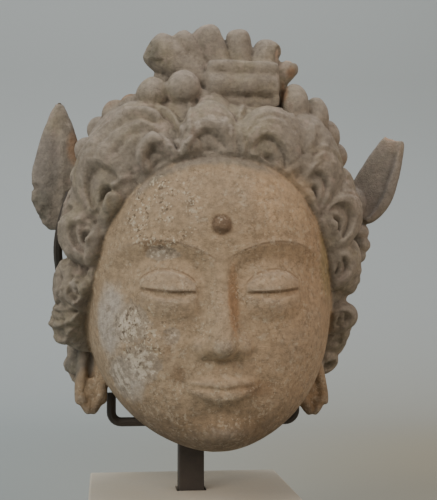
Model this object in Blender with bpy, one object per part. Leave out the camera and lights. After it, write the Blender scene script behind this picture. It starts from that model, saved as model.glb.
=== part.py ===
"""Stucco head of a bodhisattva on its display mount, in metres, +Z up.

The origin is the middle of the block's underside, and the face looks along -Y.
The head is carved in carver's millimetres: one is a millimetre at the size built,
and a share of the face height. Its own origin is over the post, with the chin
below it and the hairline above.
"""

import itertools
import math

import bmesh
import bpy
import numpy as np
from mathutils import Vector

# Driving dimensions in metres
FACE_HEIGHT = 0.173         # hairline to chin, a full-sized face
CHIN_CLEARANCE = 0.0315     # chin above the block
HEAD_SHIFT = 0.010          # head's midline beside the post
BLOCK_WIDTH = 0.130
BLOCK_DEPTH = 0.130
BLOCK_HEIGHT = 0.050
BLOCK_EDGE = 0.0012         # worn arris of the block
POST_WIDTH = 0.016          # square bar
POST_EDGE = 0.0008
POST_SETTING = 0.036        # length of the post inside the block
POST_IN_NECK = 0.018        # length of the post inside the neck
SOCKET_CLEARANCE = 0.0015   # round the post, in the block
BORE_CLEARANCE = 0.0008     # round the post, in the neck
ROD_DIAMETER = 0.006        # cradle and arm
CRADLE_BEND = 0.0065        # radius of the cradle's bends
TOUCH_GAP = 0.0003          # between pieces that touch
CUT_OVERRUN = 0.020         # of a cutter past the face it cuts
ROUND_POST = POST_WIDTH / 2 + ROD_DIAMETER / 2 + TOUCH_GAP  # rod's middle behind the post's

# Colours of the materials
STUCCO = (0.42, 0.33, 0.25)
STONE = (0.56, 0.52, 0.46)
BLACKENED = (0.03, 0.024, 0.02)

# The head's proportions in carver's millimetres
FACE = 173.0
CHIN_Z = -92.0
HAIRLINE_Z = CHIN_Z + FACE
THIRD = FACE / 3
BROW_Z = HAIRLINE_Z - THIRD
NOSE_Z = BROW_Z - THIRD
EYE_Z = 5.0
CHEEK_Z = 10.0
CROWN_Z = 118.0
EYE_SPACING = 30.0
EYE_HALF_WIDTH = 16.5
MOUTH_HALF_WIDTH = 22.5
SKULL_HALF_WIDTH = 79.0
FACE_FRONT = -88.0
SKULL_BACK = 85.0
NECK_Z = -73.0
NECK_RADIUS = 45.0
NECK_BACK = 15.0            # middle of the neck behind the post
STAR_Z = 5.0                # centre that the head's surface is drawn out from
HAIR_REACH = 108.0          # from that centre to the hair's ground
FORWARD_LEAN = 1.1          # of the locks over the hairline
STRAND_RISE = 1.3           # of the plain hair behind them
CRADLE_LEFT = -61.0         # hooks of the cradle beside the jaw
CRADLE_RIGHT = 60.5
CRADLE_LOW = -82.0
CRADLE_HIGH = -63.0
ARM_FOOT = -92.0            # where the arm leaves the post

VOXEL = 0.0019
HEAD_FACES = 8400

CARVER_MM = FACE_HEIGHT / FACE
HEAD_ORIGIN = np.array((HEAD_SHIFT, 0.0, BLOCK_HEIGHT + CHIN_CLEARANCE - CHIN_Z * CARVER_MM))

# Front locks: clock angle round the face, distance out from the hairline,
# radius, rise, tilt of the arch and its hand
FRONT_LOCKS = (
    (-124, 21, 16, 14, 24, -1), (-93, 12, 15, 11, 18, -1),
    (-70, 18, 17.5, 11, -6, 1), (-47, 18, 22, 11, -26, -1), (-27, 7, 15, 8, 4, 1), (-3, 7, 17.5, 10, -4, -1),
    (21, 8, 20, 10, -8, 1), (44, 13, 18, 10, 8, 1), (63, 17, 19, 13, 10, -1), (81, 10, 17, 12, -10, 1),
    (103, 12, 15, 11, 14, -1), (122, 14, 14, 11, -14, 1),
)
# Larger waves behind them, without an eye
SECOND_LOCKS = (
    (-107, 14, 18, 11, 60, 1), (-120, 38, 19, 8, 24, 1), (-90, 34, 21, 8, -8, -1), (-63, 33, 20, 8, 12, 1),
    (-35, 28, 22, 8, 40, -1),
    (36, 30, 19, 7, 8, -1), (57, 33, 20, 9, -16, 1), (82, 33, 20, 8, 10, -1), (108, 35, 19, 8, 0, 1),
)
# Beads of the wreath: clock angle, radius, how tall for its width and lift
WREATH = (
    (-9.5, 10.6, 1, 0.6), (-18.0, 10.2, 1, 0.55), (-24.5, 7.2, 1, 0.4), (-29.5, 8.6, 1, 0.4),
    (-35.5, 8.2, 1, 0.3), (-42, 8.4, 1, 0.3), (-48.5, 8.0, 1, 0.3), (-54.5, 7.4, 1, 0.3),
    (24, 9.6, 1.4, 0.7), (31, 9.0, 1.4, 0.7), (37.5, 8.6, 1.2, 0.5), (43.5, 8.4, 1.1, 0.35),
    (50, 8.4, 1, 0.3), (57, 7.8, 1, 0.3), (64, 7.4, 1, 0.3),
)
# Petals of the topknot: tip across, tip height and radius
PETALS = (
    (-29, 145.8, 12.6), (-18, 152.4, 8.6), (-3.2, 154.2, 10.2),
    (15.4, 154, 8.4), (32, 147, 9.4), (44.8, 138.6, 6.9),
)
# Rolls of the clasp: height, depth, radius and ends
CLASP_ROLLS = (
    (137.4, -59.8, 4.2, -5, 38), (126.8, -58.6, 7.4, -5, 38), (116.4, -59.4, 3.6, -2, 36),
)
# Single strands over the locks: half-width, rise and the places that each passes,
# as clock angle and distance out from the hairline
STRANDS = (
    (3.4, 3.8, ((-31, 4), (-30, 11), (-25.5, 14), (-21.5, 9), (-18, 3.4), (-14, 2), (-9.5, 4.5))),
    (2.0, 2.8, ((-28, 28), (-21, 22), (-17, 15.5), (-14.8, 8), (-13, 1))),
    (1.9, 2.8, ((-21, 30), (-15.5, 22), (-13, 13), (-12.2, 4))),
    (1.7, 2.2, ((-9, 25), (-9.8, 15), (-10.4, 8), (-10.8, 2))),
    (2.2, 1.6, ((-37, 4.4), (-41.8, 8), (-46.3, 10), (-51, 8), (-55, 4))),
    (4.6, 3.0, ((-50, 4), (-58, 4.2), (-68, 4.8), (-79, 5), (-90, 5), (-104, 5.5))),
    (2.4, 1.7, ((-57, 13), (-61, 18), (-68, 18), (-73, 13), (-70, 8))),
    (2.4, 1.8, ((-76, 21), (-81, 19), (-86, 13), (-83, 8))),
    (2.4, 2.4, ((-98, 24), (-99, 14), (-96, 7))),
    (2.4, 2.4, ((-103.5, 26), (-105, 15), (-102, 7))),
    (2.4, 2.2, ((-109, 26), (-111, 16), (-108, 8))),
    (1.7, 2.4, ((8.5, 26), (8, 17), (8.4, 8), (10, 2))),
    (2.6, 1.3, ((32, 28), (33.5, 18), (33, 9), (31, 3))),
)
# Small curls behind the right ear: distance out from the bare head's side there,
# depth and height, and half-widths
CURLS = (
    ((26.5, 12, 43), (8.5, 8, 7)), ((26.5, 11, 34.5), (8, 8, 6)), ((23, 10, 27), (7.5, 7, 5.5)),
)
# Places that the arm passes on its way to the left ornament: distance out from
# the bare head's side there, depth and height
ARM_PLACES = (
    (16.0, 66, -84), (34.0, 80, -58), (62.0, 74, -30), (16.2, 54, -4),
    (17.2, 34, 12), (17.5, 20, 22), (18.0, 8, 33), (17.7, 0, 45),
    (17.1, -3, 56), (17.3, -5, 66),
)


def step(low, high, value):
    """Smooth rise from 0 at low to 1 at high."""
    share = np.clip((value - low) / (high - low), 0, 1)
    return share * share * (3 - 2 * share)


def bump(distance, width):
    return np.exp(-(distance / width) ** 2)


def dome(share, power=2.0):
    """1 in the middle, round down to 0 where share reaches 1."""
    return (1 - np.clip(np.abs(share), 0, 1) ** power) ** (1 / power)


def mound(share, fullness=1.3):
    """1 in the middle, running out smoothly where share reaches 1."""
    return (1 - np.clip(np.abs(share), 0, 1) ** 2) ** fullness


def joined(one, other, blend):
    """The higher of two forms, with the join filled as wet stucco fills it."""
    share = np.clip(0.5 + 0.5 * (one - other) / blend, 0, 1)
    return other + (one - other) * share + blend * share * (1 - share)


def scattered(cells, salt):
    """A fixed number from 0 to 1 for each cell of a lattice."""
    mixed = cells[:, 0] * 73856093 + cells[:, 1] * 19349663 + cells[:, 2] * 83492791 + salt * 7919
    mixed = (mixed ^ (mixed >> 13)) * 1274126177
    return ((mixed ^ (mixed >> 16)) & 0xFFFFF) / 0xFFFFF


def lumps(points, size, salt=0):
    """Uneven hand-worked surface, from -1 to 1, with lumps about size millimetres apart."""
    spots = points / size
    corner = np.floor(spots).astype(np.int64)
    share = spots - corner
    share = share * share * (3 - 2 * share)
    height = np.zeros(len(points))
    for offset in itertools.product((0, 1), repeat=3):
        weight = np.prod(np.where(offset, share, 1 - share), axis=1)
        height += weight * scattered(corner + offset, salt)
    return 2 * height - 1


# The bare head

def section(z):
    """Half-width, middle and half-depths of the head's section at a height."""
    up = np.clip((z - CHEEK_Z) / (CROWN_Z - CHEEK_Z), 0, 1)
    down = np.clip((CHEEK_Z - z) / (CHEEK_Z - CHIN_Z), 0, 1)
    half_width = SKULL_HALF_WIDTH * dome(up, 2.3) * (1 - down ** 2.5) ** 0.54
    middle = 8 - 40 * down ** 1.6 - 4 * up
    front = (middle - FACE_FRONT) * dome(up, 3) * (1 - down ** 14) ** (1 / 3)
    back = SKULL_BACK - 115 * down ** 1.9 - middle
    back = np.where(up > 0, (SKULL_BACK - middle) * dome(up, 2.3), back) * (1 - down ** 10) ** 0.5
    return half_width, middle, front, back


def flank(depth, height):
    """Half-width of the bare head at a depth and a height."""
    half_width, middle, front, back = section(height)
    share = abs(depth - middle) / (front if depth < middle else back)
    return float(half_width * (1 - min(share, 1) ** 2.5) ** 0.4)


def inside(points):
    """True inside the bare head."""
    x, y, z = points.T
    half_width, middle, front, back = section(z)
    depth = np.where(y < middle, front, back)
    size = np.abs(x) / np.maximum(half_width, 0.01)
    size = size ** 2.5 + (np.abs(y - middle) / np.maximum(depth, 0.01)) ** 2.5
    return (size < 1) & (z < CROWN_Z) & (z > CHIN_Z)


def bare_radius(directions):
    """Distance from the star centre to the bare head's surface, found by halving."""
    near = np.full(len(directions), 5.0)
    far = np.full(len(directions), 190.0)
    for _ in range(22):
        middle = (near + far) / 2
        within = inside(directions * middle[:, None] + (0, 0, STAR_Z))
        near = np.where(within, middle, near)
        far = np.where(within, far, middle)
    return near


# The face, to its own calm and regular canon

def brow_line(side):
    return BROW_Z + 8 - 13 * ((side - 36) / 36) ** 2


def brow_relief(x, z):
    """Brow drawn as one fine ridge over a shallow eye socket."""
    side = np.abs(x)
    above = z - brow_line(side)
    span = step(3, 14, side) * (1 - step(54, 70, side))
    socket = -4.2 * (1 - step(-8, 0.4, above)) * step(-40, -12, above)
    ridge = 0.8 * bump(above - 0.3, 1.7)
    return (socket + ridge) * span


def nose_relief(x, z):
    side = np.abs(x)
    top, tip = BROW_Z - 4, NOSE_Z + 8
    along = np.clip((top - z) / (top - tip), 0, 1)
    under = dome(np.clip((tip - z) / (tip - NOSE_Z + 1.5), 0, 1), 2.2)
    bridge = (2.6 + 13.6 * along ** 1.3) * np.exp(-(side / (5.8 + 4.2 * along)) ** 2.4)
    bridge *= (1 - step(top - 6, top + 15, z)) * under
    wing = np.hypot((side - 9.6) / 9.2, (z - NOSE_Z - 6.0) / 7.6)
    form = joined(bridge, 7.2 * mound(wing, 1.0), 4.5)
    wing_crease = -0.5 * bump(wing - 0.98, 0.16) * step(10, 13, side) * step(-1, 4, z - NOSE_Z)
    nostrils = -3.4 * bump(np.hypot((side - 5.6) / 3.0, (z - NOSE_Z - 0.8) / 1.7), 1.0)
    return form + wing_crease + nostrils


def eye_relief(x, z):
    """Lowered lids over a full eyeball, with a narrow opening."""
    side = np.abs(x)
    across = (side - EYE_SPACING) / EYE_HALF_WIDTH
    arch = np.clip(1 - across ** 2, 0, 1)
    level = EYE_Z + 1.2 * across
    ball = 6.0 * mound(np.hypot((side - EYE_SPACING) / 25, (z - level + 1) / 17), 1.3)
    upper_edge = level - 1.6 - 0.9 * arch
    lower_edge = level - 2.0 - 4.6 * arch ** 0.8
    fold = level + 1.2 + 8.4 * arch ** 0.7
    lid = 1.7 * step(-0.5, 0.4, z - upper_edge) * (1 - step(-1.4, 1.0, z - fold))
    lower_lid = 1.3 * (1 - step(-0.4, 0.5, z - lower_edge)) * step(-17, -7, z - level)
    crease = -0.9 * bump(z - fold - 0.8, 1.1)
    return ball + (lid + lower_lid + crease) * step(0, 0.18, arch)


def mouth_relief(x, z):
    side = np.abs(x)
    reach = np.clip(side / MOUTH_HALF_WIDTH, 0, 1)
    line = NOSE_Z - 17.5 + 2.6 * reach ** 2.4 - 0.8 * bump(x, 5)
    width = 1 - reach ** 2
    upper_edge = line + 0.6 + 6.6 * width ** 0.9 - 1.5 * bump(x, 3.6)
    lower_edge = line - 0.8 - 9.2 * width ** 0.75
    rise = np.clip((z - line) / (upper_edge - line), 0, 1)
    fall = np.clip((line - z) / (line - lower_edge), 0, 1)
    ends = step(0, 0.4, width)
    around = 5.2 * bump(x, 24) * bump(z - line, 18)
    upper = 2.6 * (0.75 + 0.45 * np.sin(math.pi * rise ** 0.65)) * (1 - step(0.66, 1.05, rise)) * (z > line)
    lower = 2.9 * (0.70 + 0.56 * np.sin(math.pi * fall ** 0.75)) * (1 - step(0.6, 1.05, fall)) * (z <= line)
    slit = -1.6 * bump(z - line, 0.9)
    corners = -1.4 * bump(np.hypot((side - MOUTH_HALF_WIDTH - 0.5) / 5.5, (z - line) / 4.2), 1.0)
    channel = (0.5 * bump(side - 5.2, 2.4) - 0.8 * bump(x, 3.4)) * step(upper_edge - 1, upper_edge + 3, z)
    channel *= 1 - step(NOSE_Z - 5, NOSE_Z - 1, z)
    return around + (upper + lower + slit) * ends + corners + channel


def face_relief(x, z):
    """How far the face stands out in front of the bare head."""
    side = np.abs(x)
    forehead = 3 * bump(z - BROW_Z - 27, 34) * bump(x, 46)
    cheek = 4.4 * bump(side - 40, 24) * bump(z - NOSE_Z - 12, 24)
    fold = -0.6 * bump(side - 22 + 0.5 * (z - NOSE_Z + 6), 4.0) * bump(z - NOSE_Z + 7, 9)
    under_lip = -2.2 * bump(x, 16) * bump(z - NOSE_Z + 33.5, 5.6)
    chin = 5.2 * bump(x, 15) * bump(z - CHIN_Z - 13, 10)
    from_mark = np.hypot(x, z - BROW_Z - 17)
    mark = 2.4 * dome(from_mark / 4.4) - 0.35 * bump(from_mark - 5.4, 1.2)
    return (forehead + cheek + fold + under_lip + chin + mark
            + brow_relief(x, z) + nose_relief(x, z) + eye_relief(x, z) + mouth_relief(x, z))


# The hair, drawn round the face by clock angle and by distance out from the hairline

def hairline(clock):
    """Angle from the face's axis at which the hair starts."""
    side = np.abs(clock)
    return 44 + 15 * (np.minimum(side, 90) / 90) ** 2 + 0.95 * np.clip(side - 90, 0, 66)


def hair_frame(directions):
    """Clock angle, angle from the face's axis and distance out from the hairline."""
    x, y, z = directions.T
    clock = np.degrees(np.arctan2(x, z))
    angle = np.degrees(np.arctan2(np.hypot(x, z), -y))
    return clock, angle, np.radians(angle - hairline(clock)) * HAIR_REACH


def lock_axes(across, out, tilt, hand):
    lean = math.radians(tilt)
    return (hand * (across * math.cos(lean) + out * math.sin(lean)),
            out * math.cos(lean) - across * math.sin(lean))


def arch_lock(across, out, radius, rise, tilt, hand):
    """A lock bent in an arch over a smaller one, whose eye is a drilled slit."""
    a, b = lock_axes(across, out, tilt, hand)
    reach = np.hypot(a, b * 0.86) / radius
    arch = rise * dome(reach, 2.3)
    nest_a, nest_b = a - 0.06 * radius, 1.02 * b + 0.38 * radius
    nest = np.hypot(nest_a, nest_b) / (0.55 * radius)
    lip = 1 - step(1.3, 1.9, np.abs(np.arctan2(nest_a, nest_b) - 0.2))
    inner = np.minimum(arch, rise * (0.36 + 0.38 * dome(nest, 2.4)))
    within = (1 - step(0.98, 1.07, nest)) * (0.2 + 0.8 * lip)
    slit_a, slit_b = (a - 0.06 * radius) / (0.28 * radius), (b + 0.27 * radius) / (0.12 * radius)
    slit = -0.75 * rise * bump(np.hypot(slit_a, slit_b + 1.6 * slit_a ** 2), 1.0)
    return arch + (inner - arch) * within + slit * (reach < 1)


def wave_lock(across, out, radius, rise, tilt, hand):
    """A broad wave of the second row."""
    a, b = lock_axes(across, out, tilt, hand)
    return rise * dome(np.hypot(a, b * 0.8) / radius, 2.4)


def smooth_route(places, steps=5):
    """Points on a smooth curve through the places."""
    places = np.array(places, float)
    padded = [2 * places[0] - places[1], *places, 2 * places[-1] - places[-2]]
    route = []
    for p0, p1, p2, p3 in zip(padded, padded[1:], padded[2:], padded[3:]):
        for k in range(steps):
            t = k / steps
            route.append(0.5 * (2 * p1 + (p2 - p0) * t + (2 * p0 - 5 * p1 + 4 * p2 - p3) * t ** 2
                                + (3 * p1 - p0 - 3 * p2 + p3) * t ** 3))
    return np.array(route + [padded[-2]])


def single_strands(clock, out, degree):
    """Strands across the locks, each on a smooth curve through its places."""
    height = np.zeros_like(out)
    for width, rise, places in STRANDS:
        route = smooth_route(places)
        near = (clock > route[:, 0].min() - 9) & (clock < route[:, 0].max() + 9) & (out < 45)
        scale = degree[near]
        away = np.full(len(scale), 99.0)
        for start, end in zip(route, route[1:]):
            from_a, from_b = (clock[near] - start[0]) * scale, out[near] - start[1]
            along_a, along_b = (end[0] - start[0]) * scale, end[1] - start[1]
            share = np.clip((from_a * along_a + from_b * along_b) / (along_a ** 2 + along_b ** 2), 0, 1)
            away = np.minimum(away, np.hypot(from_a - share * along_a, from_b - share * along_b))
        height[near] += rise * (mound(away / width, 0.8) - 0.35 * bump(away / width - 1.25, 0.25))
    return height


def side_hair(clock, angle, out):
    """Front locks in a row round the face, with a second row behind them."""
    degree = math.radians(HAIR_REACH) * np.sin(np.radians(angle))
    height = np.zeros_like(out)
    for row, form in ((SECOND_LOCKS, wave_lock), (FRONT_LOCKS, arch_lock)):
        for place, start, *shape in row:
            near = np.abs(clock - place) < 40
            outward = np.radians(angle[near] - hairline(place)) * HAIR_REACH - start
            lock = form((clock[near] - place) * degree[near], outward, *shape)
            height[near] = joined(lock, height[near], 0.8)
    return height * (0.22 + 0.9 * step(-3, 12, out)) + single_strands(clock, out, degree)


def hair_ground(clock, out):
    """Thickness of the hair under its locks."""
    ground = 1.5 * step(-0.6, 0.9, out) + 9.5 * step(2, 30, out) - 2 * step(50, 80, out)
    shoulders = 7 * bump(np.abs(clock) - 36, 22) * step(14, 34, out) * (1 - step(60, 100, out))
    arm_hollow = 10 * bump(clock + 57, 14) * bump(out - 75, 22)
    clasp_hollow = 5 * bump(clock - 13, 13) * bump(out - 37, 9)
    return ground + shoulders - arm_hollow - clasp_hollow


def hair_height(directions, points):
    clock, angle, out = hair_frame(directions)
    reach = directions * HAIR_REACH
    clock = clock + 1.6 * lumps(reach, 17, 7)
    out = out + 1.8 * lumps(reach, 15, 8) * step(0, 8, out)
    locks = side_hair(clock, angle, out) * step(-0.6, 0.9, out)
    behind = step(48, 66, out)
    height = hair_ground(clock, out) + locks * (1 - behind) + STRAND_RISE * behind
    return height * step(-66, -52, points[:, 2])


def shell_surface(directions):
    """Points of the head's skin and hair along directions from the star centre."""
    radius = bare_radius(directions)
    bare = directions * radius[:, None] + (0, 0, STAR_Z)
    _, _, out = hair_frame(directions)
    front = step(-28, -52, bare[:, 1]) * (1 - step(-3, 1, out))
    skin = bare.copy()
    skin[:, 1] -= face_relief(bare[:, 0], bare[:, 2]) * front
    growth = directions.copy()
    growth[:, 1] -= FORWARD_LEAN * (1 - step(4, 32, out))
    growth /= np.linalg.norm(growth, axis=1)[:, None]
    return skin + growth * hair_height(directions, bare)[:, None]


# Mesh helpers

def carved(points):
    """Carver's millimetres to metres in the part's frame."""
    return np.asarray(points, float) * CARVER_MM + HEAD_ORIGIN


def add_rings(target, rings):
    """Closed body through rings of points, with a flat face at each end."""
    rows = [[target.verts.new(point) for point in ring] for ring in rings]
    count = len(rows[0])
    for lower, upper in zip(rows, rows[1:]):
        for i in range(count):
            j = (i + 1) % count
            target.faces.new((lower[i], lower[j], upper[j], upper[i]))
    target.faces.new(rows[0][::-1])
    target.faces.new(rows[-1])


def add_sweep(target, start, end, stations, front=(0, -1, 0), sides=16, form=None, edge=1.0):
    """Body along a straight axis, with stations of share, half-width and half-depth.

    The form shares the depth of its front out across the width, and a small edge power
    makes it plate-like."""
    start, end = Vector(start), Vector(end)
    axis = (end - start).normalized()
    across = axis.cross(Vector(front)).normalized()
    facing = across.cross(axis)
    rings = []
    for share, width, depth in stations:
        middle = start.lerp(end, share)
        ring = []
        for k in range(sides):
            turn = 2 * math.pi * k / sides
            lift = math.copysign(abs(math.sin(turn)) ** edge, math.sin(turn)) * depth
            if form and lift > 0:
                lift *= form(math.cos(turn))
            ring.append(carved(middle + across * math.cos(turn) * width + facing * lift))
        rings.append(ring)
    add_rings(target, rings)


def finger(first, last, depth=1.0, roundness=3.0, count=11):
    """Stations of a bar with round ends that swells from first to last."""
    stations = []
    for k in range(count):
        share = 0.5 - 0.5 * math.cos(math.pi * (k + 0.35) / (count - 0.3))
        width = (first + (last - first) * share) * float(dome(2 * share - 1, roundness))
        stations.append((share, width, width * depth))
    return stations


def leaf(widest, low, count=15):
    """Stations of a leaf that is widest at the given share and pointed above."""
    stations = []
    for k in range(count):
        share = (k + 0.2) / (count - 0.6)
        rising = min(share / low, 1)
        falling = max(share - low, 0) / (1 - low)
        stations.append((share, widest * float(dome(1 - rising, 2)) * (1 - falling ** 1.7) + 1.6))
    return stations


def add_ball(target, centre, radii):
    ball = bmesh.ops.create_icosphere(target, subdivisions=3, radius=1.0)
    for vert in ball["verts"]:
        vert.co = Vector(carved([centre[i] + vert.co[i] * radii[i] for i in range(3)]))


def new_object(name, mesh_data, colour, roughness, metallic=0.0):
    mesh = bpy.data.meshes.new(name)
    mesh_data.to_mesh(mesh)
    mesh_data.free()
    return place(name, mesh, colour, roughness, metallic)


def place(name, mesh, colour, roughness, metallic=0.0):
    item = bpy.data.objects.new(name, mesh)
    bpy.context.collection.objects.link(item)
    material = bpy.data.materials.new(name + "_material")
    material.use_nodes = True
    shader = material.node_tree.nodes["Principled BSDF"]
    shader.inputs["Base Color"].default_value = (*colour, 1)
    shader.inputs["Roughness"].default_value = roughness
    shader.inputs["Metallic"].default_value = metallic
    item.data.materials.clear()
    item.data.materials.append(material)
    return item


# The head's bodies

def add_shell(target):
    shell = bmesh.new()
    halvings = 1 + math.ceil(math.log2(HAIR_REACH * CARVER_MM / VOXEL))
    bmesh.ops.create_icosphere(shell, subdivisions=halvings, radius=1.0)
    mesh = bpy.data.meshes.new("shell")
    shell.to_mesh(mesh)
    shell.free()
    directions = np.empty(len(mesh.vertices) * 3, np.float32)
    mesh.vertices.foreach_get("co", directions)
    directions = directions.reshape(-1, 3).astype(float)
    directions /= np.linalg.norm(directions, axis=1)[:, None]
    mesh.vertices.foreach_set("co", carved(shell_surface(directions)).astype(np.float32).ravel())
    target.from_mesh(mesh)
    bpy.data.meshes.remove(mesh)


def add_topknot(target):
    """Bun, fan of petals, the clasp with three rolls across in front of it, and the
    middle lock's back that runs up under the clasp."""
    add_ball(target, (12, -26, 124), (36, 26, 24))
    add_ball(target, (-26, -42, 131.5), (11, 10.5, 10.5))
    add_ball(target, (-8, -58, 117), (6, 8, 7))
    add_ball(target, (41.5, -44, 122), (6.5, 8, 10))
    add_sweep(target, (-4.5, -74, 103), (-0.5, -60, 118), finger(10, 9.5, 0.5, 4))
    for tip_x, tip_z, radius in PETALS:
        start = np.array((11 + 0.4 * tip_x, -50, 122))
        end = np.array((tip_x, -47, tip_z))
        end = end + (end - start) / np.linalg.norm(end - start) * radius
        add_sweep(target, start, end, finger(radius * 0.74, radius, 1.15, 4.5))
    for middle_z, middle_y, radius, left, right in CLASP_ROLLS:
        add_sweep(target, (left, middle_y, middle_z), (right, middle_y + 3, middle_z),
                  finger(radius, radius, roundness=9), edge=0.6)
    middle_z, _, _, left, right = CLASP_ROLLS[1]
    add_sweep(target, (left, -56.5, middle_z), (right, -53.5, middle_z),
              finger(12.6, 12.6, 0.46, 12), edge=0.8)
    for x, y in ((left + 1.5, -61.4), (right - 1.5, -58.4)):
        add_sweep(target, (x, y, 114), (x, y + 1, 139), finger(2.5, 2.5, roundness=5))


def wreath_point(clock, lift):
    angle = math.radians(62 + 18 * (clock / 48) ** 2)
    turn = math.radians(clock)
    across, up = math.sin(turn), math.cos(turn)
    direction = np.array([[math.sin(angle) * across, -math.cos(angle), math.sin(angle) * up]])
    clock, _, out = hair_frame(direction)
    radius = bare_radius(direction) + hair_ground(clock, out) + lift
    return (direction * radius[:, None] + (0, 0, STAR_Z))[0]


def add_wreath(target):
    for clock, radius, tall, lift in WREATH:
        add_ball(target, wreath_point(clock, lift * radius), (radius / tall ** 0.3, radius, radius * tall))
    for (beside, depth, height), radii in CURLS:
        add_ball(target, (flank(depth, height) + beside, depth, height), radii)


def folded_front(place):
    """Two cushions with a groove between them."""
    return 1 - 0.5 * bump(place + 0.1, 0.08) - 0.14 * bump(place - 0.45, 0.12)


def rimmed_front(place):
    """A shallow dish with a raised rim along its right edge."""
    return 0.42 + 0.58 * float(step(0.5, 0.62, place)) + 0.2 * bump(place + 1, 0.2)


def add_side_ornaments(target):
    """The folded leaf on the left and the broken, rimmed leaf on the right."""
    side = flank(14, 62)
    folded = [(share, width, 0.52 * width) for share, width in leaf(15.8, 0.36)]
    add_sweep(target, (-side - 24.9, 14, 43), (-side - 23.4, 10, 128.5), folded, form=folded_front, edge=0.8)
    add_ball(target, (-side - 32.9, 12, 61), (8.6, 7.5, 12))
    add_ball(target, (-side - 7.9, 23, 62), (18, 9, 17))
    rimmed = [(share, 15.5 * float(dome(1 - min(share * 2.2, 1), 2)) - 8.5 * share ** 2.5, 5.5 + 1.5 * share)
              for share in np.linspace(0.04, 1, 14)]
    add_sweep(target, (side + 31.9, 9, 49), (side + 57.4, 10, 106), rimmed, (-0.35, -1, 0),
              24, rimmed_front, 0.55)
    add_ball(target, (side + 17.9, 11, 62), (21, 9, 14))


def add_ears(target):
    """Long lobes of two strands, with a slit between them, that flare below."""
    side = flank(2, -24)
    for top, low, spread_out, length in (
            (-side + 2, -side + 2.2, 7.2, -69),
            (side - 10.2, side - 7.4, 8.2, -71)):
        for hand in (-1, 1):
            add_sweep(target, (top + hand * 4.2, 2, -24), (low + hand * spread_out, -4, length),
                      finger(3.4, 4.2, 1.35, 4))
            add_sweep(target, (low + hand * spread_out, -4, length + 8), (low, -4, length - 5.5),
                      finger(4.0, 3.4, 1.35, 4))
        add_ball(target, (low, -2.4, length + 6), (spread_out, 4.4, 11))
        add_ball(target, ((top + low) / 2, 4, -42), (5, 4.5, 22))


def add_neck(target):
    """Stump of the neck, broken off rough below."""
    rings = []
    for z, swell in ((-20, 0.9), (-45, 1.0), (NECK_Z + 6, 1.02), (NECK_Z, 0.9)):
        ring = []
        for k in range(40):
            turn = 2 * math.pi * k / 40
            radius = NECK_RADIUS * swell * (1 + 0.03 * math.sin(3 * turn + z) + 0.02 * math.sin(7 * turn))
            drop = 1.5 * math.sin(2 * turn + 1) if z <= NECK_Z else 0
            ring.append(carved((radius * math.sin(turn), NECK_BACK - radius * math.cos(turn), z + drop)))
        rings.append(ring)
    add_rings(target, rings)


def largest_body(mesh):
    """The mesh without the loose shells that merging may leave inside."""
    work = bmesh.new()
    work.from_mesh(mesh)
    left = set(work.verts)
    bodies = []
    while left:
        seed = left.pop()
        body, edge_of_body = {seed}, [seed]
        while edge_of_body:
            for edge in edge_of_body.pop().link_edges:
                for vert in edge.verts:
                    if vert in left:
                        left.discard(vert)
                        body.add(vert)
                        edge_of_body.append(vert)
        bodies.append(body)
    keep = max(bodies, key=len)
    bmesh.ops.delete(work, geom=[vert for vert in work.verts if vert not in keep], context="VERTS")
    work.to_mesh(mesh)
    work.free()


def cut(item, cutter):
    cutter.hide_render = True
    cutter.display_type = "WIRE"
    difference = item.modifiers.new(cutter.name, "BOOLEAN")
    difference.operation = "DIFFERENCE"
    difference.object = cutter


def evaluated_mesh(item):
    graph = bpy.context.evaluated_depsgraph_get()
    return bpy.data.meshes.new_from_object(item.evaluated_get(graph))


def box(width, depth, low, high, bevel=0.0):
    solid = bmesh.new()
    bmesh.ops.create_cube(solid, size=1.0)
    for vert in solid.verts:
        vert.co = (vert.co.x * width, vert.co.y * depth, low + (vert.co.z + 0.5) * (high - low))
    if bevel:
        bmesh.ops.bevel(solid, geom=solid.edges[:], offset=bevel, segments=2, profile=0.5, affect="EDGES")
    return solid


def make_head():
    bodies = bmesh.new()
    add_shell(bodies)
    add_topknot(bodies)
    add_wreath(bodies)
    add_side_ornaments(bodies)
    add_ears(bodies)
    add_neck(bodies)
    bmesh.ops.recalc_face_normals(bodies, faces=bodies.faces)
    rough = new_object("rough_head", bodies, STUCCO, 0.9)
    merge = rough.modifiers.new("merge", "REMESH")
    merge.mode = "VOXEL"
    merge.voxel_size = VOXEL
    mesh = evaluated_mesh(rough)
    bpy.data.objects.remove(rough)
    largest_body(mesh)
    head = place("head", mesh, STUCCO, 0.9)
    fewer = head.modifiers.new("fewer_faces", "DECIMATE")
    fewer.ratio = HEAD_FACES / (2 * len(mesh.polygons))
    return head


# The mount

def post_top():
    return HEAD_ORIGIN[2] + NECK_Z * CARVER_MM + POST_IN_NECK


def make_block():
    block = new_object("plinth_block", box(BLOCK_WIDTH, BLOCK_DEPTH, 0, BLOCK_HEIGHT, BLOCK_EDGE), STONE, 0.7)
    hole_width = POST_WIDTH + 2 * SOCKET_CLEARANCE
    hole = box(hole_width, hole_width, BLOCK_HEIGHT - POST_SETTING - TOUCH_GAP, BLOCK_HEIGHT + CUT_OVERRUN)
    cut(block, new_object("post_hole", hole, STONE, 1.0))


def make_post():
    bar = box(POST_WIDTH, POST_WIDTH, BLOCK_HEIGHT - POST_SETTING, post_top(), POST_EDGE)
    new_object("support_post", bar, BLACKENED, 0.5, 0.9)


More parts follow.
